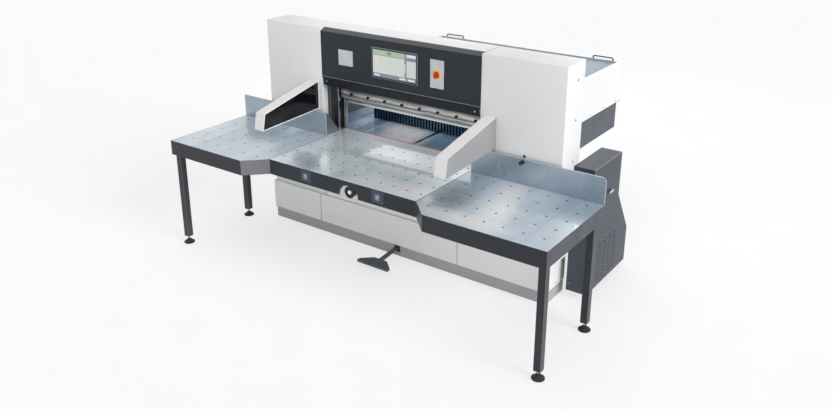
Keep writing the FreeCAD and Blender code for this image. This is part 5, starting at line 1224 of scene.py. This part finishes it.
def treadPattern(pitch, rowPitch, radius, height, margin, front, neck, depth, level):
    low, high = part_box("foot_pedal")
    half = (high.x - low.x) / 2 - margin
    places = []
    line = 0
    y = low.y + margin
    while y < low.y + depth - margin:
        past = max(0.0, (y - low.y - front) / (depth - front))
        reach = half - past * (high.x - neck / 2) + (margin * 0.2 if past else 0)
        x = -math.floor(reach / pitch) * pitch + (pitch / 2 if line % 2 else 0)
        while x <= reach:
            places.append((Vector((x, y, level)), "up"))
            x += pitch
        y += pitch * rowPitch
        line += 1
    stud = Shape("treadRubber").turned([(-0.0005, radius), (height * 0.5, radius * 0.9), (height, radius * 0.55)],
                                       (0, 0, 0), 6, "Z")
    repeated("tread_studs", stud.seed(), places, "treadRubber", "pedal")


treadPattern(**treadStuds)

# A small hood over each louvre slot of the cabinet door, lighter than the door as a painted highlight, and a dark strip
# at the slot below the hood's lip as a painted shadow.
louvre = {"overhang": 0.0028, "height": 0.0045, "endGap": 0.002, "largest": 0.09, "shortest": 0.05,
          "mouth": ((-0.0035, -0.0008), (0.0075, 0.0002))}


def louvres(overhang, height, endGap, largest, shortest, mouth):
    slots = [box for box in holesOf("cabinet_door", 0, largest) if box[1].y - box[0].y > shortest]
    low, high = slots[0]
    half, top = (high.y - low.y) / 2 - endGap, (high.z - low.z) / 2
    arch = [(-0.0004, top + height), (overhang, top + 0.0006), (overhang, top - 0.0004),
            (overhang - 0.0006, top - 0.0006), (-0.0004, top - 0.0006)]
    hood = Shape("hoodPaint").skin([[Vector((a, y, b)) for a, b in arch] for y in (-half, half)]).seed()
    hood.data.transform(Matrix.Rotation(-math.pi / 2, 4, "Y"))
    places = [(Vector((high.x, middle(box).y, middle(box).z)), "right") for box in slots]
    repeated("louvre_hoods", hood, places, "hoodPaint", "door")
    # painted shadow: a dark strip over each slot, below the hood's lip
    (bottom, inner), (upper, outer) = mouth
    dark = Shape("mouthPaint").block((bottom, -half, inner), (upper, half, outer))
    repeated("louvre_mouths", dark.seed(), places, "mouthPaint", "door")


louvres(**louvre)

# Sealing strips in the joints between plates and sheets, a touch proud of them, as (finish, where they stand along X,
# half width, front and back, bottom and top).
joints = {
    "table_seals": ("sealDark", (-0.685, 0.685), 0.0025, (-0.9080, -0.2352), (0.8990, 0.90025)),
    "guard_seals": ("sealDark", (0.9300, 1.2830), 0.0020, (-0.23825, -0.2360), (0.9010, 1.0925)),
    "panel_seals": ("sealGrey", (-0.8020, 0.5860), 0.0022, (-0.23025, -0.2280), (0.1000, 0.3510)),
    "apron_seals": ("sealGrey", (-0.74685, 0.74685), 0.0020, (-0.21125, -0.2090), (0.3530, 0.7790)),
}
sealEdge = 0.0004
for name, (finish, stands, half, (front, back), (bottom, top)) in joints.items():
    strip = Shape(finish)
    for x in stands:
        strip.block((x - half, front, bottom), (x + half, back, top))
    strip.piece(name, "machine", "black_plastic", edge=sealEdge)

# A drip tray that hangs below the slot of the rear tables, with upturned sides, painted near black as painted shade in
# the slot.
dripShadeTray = {"half": 0.36, "front": 0.075, "back": 1.80, "level": 0.768, "sheet": 0.0015, "lip": 0.020,
            "edge": 0.0004}


def dripShadeSheet(half, front, back, level, sheet, lip, edge):
    outline = [(-half, level + lip), (-half, level), (half, level), (half, level + lip), (half - sheet, level + lip),
               (half - sheet, level + sheet), (sheet - half, level + sheet), (sheet - half, level + lip)]
    tray = Shape("castDark").framed([(front, outline), (back, outline)])
    tray.piece("drip_tray", "machine", "graphite_paint", edge=edge)


dripShadeSheet(**dripShadeTray)

# Two small screws on the hinged guard, and a bright trim along the crease above it as a painted highlight line.
flapScrewsAndHighlightTrim = {"screws": [(-0.700, 1.352), (0.700, 1.352)], "height": 0.0022, "above": 0.0022, "proud": 0.0012,
            "endGap": 0.002, "edge": 0.0005}


def flapDetails(screws, height, above, proud, endGap, edge):
    flap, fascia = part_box("knife_flap"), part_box("fascia")
    repeated("flap_screws", screwSeed(**sheetScrew), [(Vector((x, flap[0].y, z)), "front") for x, z in screws],
             "brightChrome", "knife_guard", spin=1.0)
    low, high = fascia
    foot = flap[1].z + above
    # a bright strip along the crease: a painted highlight
    trim = Shape("satinAlu").block((low.x + endGap, low.y - proud, foot),
                                   (high.x - endGap, low.y + 0.0004, foot + height))
    trim.piece("crease_trim", "machine", "dark_paint", edge=edge)


flapDetails(**flapScrewsAndHighlightTrim)
print("seals, tray and trim")

# Light, floor and camera.
studio = {
    "ambient": 0.22, "ambientTint": (1.0, 1.0, 1.01), "floorTone": 0.90, "floorSeen": 0.36, "floorGlow": 0.66,
    "floorReach": 30,
    "suns": {  # direction, spread in degrees, strength
        "rightSun": ((0.92, -0.06, 0.38), 35, 2.4),
        "frontSun": ((0.10, -0.97, 0.08), 45, 1.1),
        "topSun": ((-0.15, -0.10, 0.95), 60, 0.8),
    },
    "panes": {  # place, aim, width, height, watts; each shows as a streak in the polished tables
        "windowPane": ((-3.2, 4.2, 3.4), (0.0, 0.2, 0.9), 2.6, 3.0, 20),
        "sidePane": ((-0.6, 6.0, 4.0), (0.9, -0.5, 0.9), 1.2, 2.6, 22),
        "rearPane": ((0.3, 0.7, 2.4), (0.3, 1.7, 1.1), 1.6, 0.5, 11),
    },
    "camera": {"place": (3.614, -5.007, 3.106), "turn": 35.52, "tilt": 19.81, "lens": 35.49, "shiftY": -0.07},
}


def seenRay(book):
    # rays that see or mirror the background, unlike those that carry light to the object
    camera, glossy, through = (book.node("ShaderNodeLightPath", output=name) for name in
                               ("Is Camera Ray", "Is Glossy Ray", "Is Transmission Ray"))
    return camera.most(glossy).most(through)


def buildWorld(ambient, tint):
    world = bpy.data.worlds.new("studioWorld")
    world.use_nodes = True
    bpy.context.scene.world = world
    book = NodeBook(world.node_tree)
    background = book.tree.nodes["Background"]
    book.feed(background.inputs[0], book.mix(seenRay(book), shade(tint, ambient), rgba((1.0, 1.0, 1.0))))
    book.feed(background.inputs[1], 1.0)


def buildFloor(reach, tone, seenTone, glow):
    mesh = bpy.data.meshes.new("floor")
    mesh.from_pydata([(-reach, -reach, 0), (reach, -reach, 0), (reach, reach, 0), (-reach, reach, 0)], [],
                     [(0, 1, 2, 3)])
    paper = Finish("floorPaper", roughness=0.9, glowStrength=1.0, specular=0.0)
    seen = seenRay(paper)
    grain = paper.noise(3.0, detail=4)
    plain = paper.mix(seen, rgba([tone] * 3), rgba([seenTone] * 3))
    paper.set(colour=paper.mix(paper.spread(grain, 0.3, 0.7, 0.0, 0.03), plain, rgba((0.9, 0.9, 0.9))),
              glow=paper.mix(seen, rgba((0, 0, 0)), rgba([glow] * 3)))
    mesh.materials.append(paper.material)
    looseObject("floor", mesh)


def addLight(name, kind, place, towards, **settings):
    light = bpy.data.lights.new(name, kind)
    for key, value in settings.items():
        setattr(light, key, value)
    lamp = looseObject(name, light)
    lamp.location = place
    lamp.rotation_euler = Vector(towards).to_track_quat("Z", "Y").to_euler()
    lamp.visible_camera = False
    lamp.visible_glossy = kind == "AREA"


def addCamera(place, turn, tilt, lens, shiftY):
    data = bpy.data.cameras.new("photoCamera")
    data.lens = lens
    data.sensor_width = 36
    data.shift_y = shiftY
    data.clip_end = 200
    camera = looseObject("photoCamera", data)
    camera.location = place
    camera.rotation_euler = (math.radians(90 - tilt), 0, math.radians(turn))
    bpy.context.scene.camera = camera


buildWorld(studio["ambient"], studio["ambientTint"])
buildFloor(studio["floorReach"], studio["floorTone"], studio["floorSeen"], studio["floorGlow"])
for name, (towards, spread, strength) in studio["suns"].items():
    addLight(name, "SUN", (0, 0, 6), towards, angle=math.radians(spread), energy=strength)
for name, (place, aim, wide, high, watts) in studio["panes"].items():
    addLight(name, "AREA", place, Vector(place) - Vector(aim), shape="RECTANGLE", size=wide, size_y=high,
             energy=watts)
addCamera(**studio["camera"])
bpy.context.scene.view_settings.view_transform = "Standard"
print("studio ready")
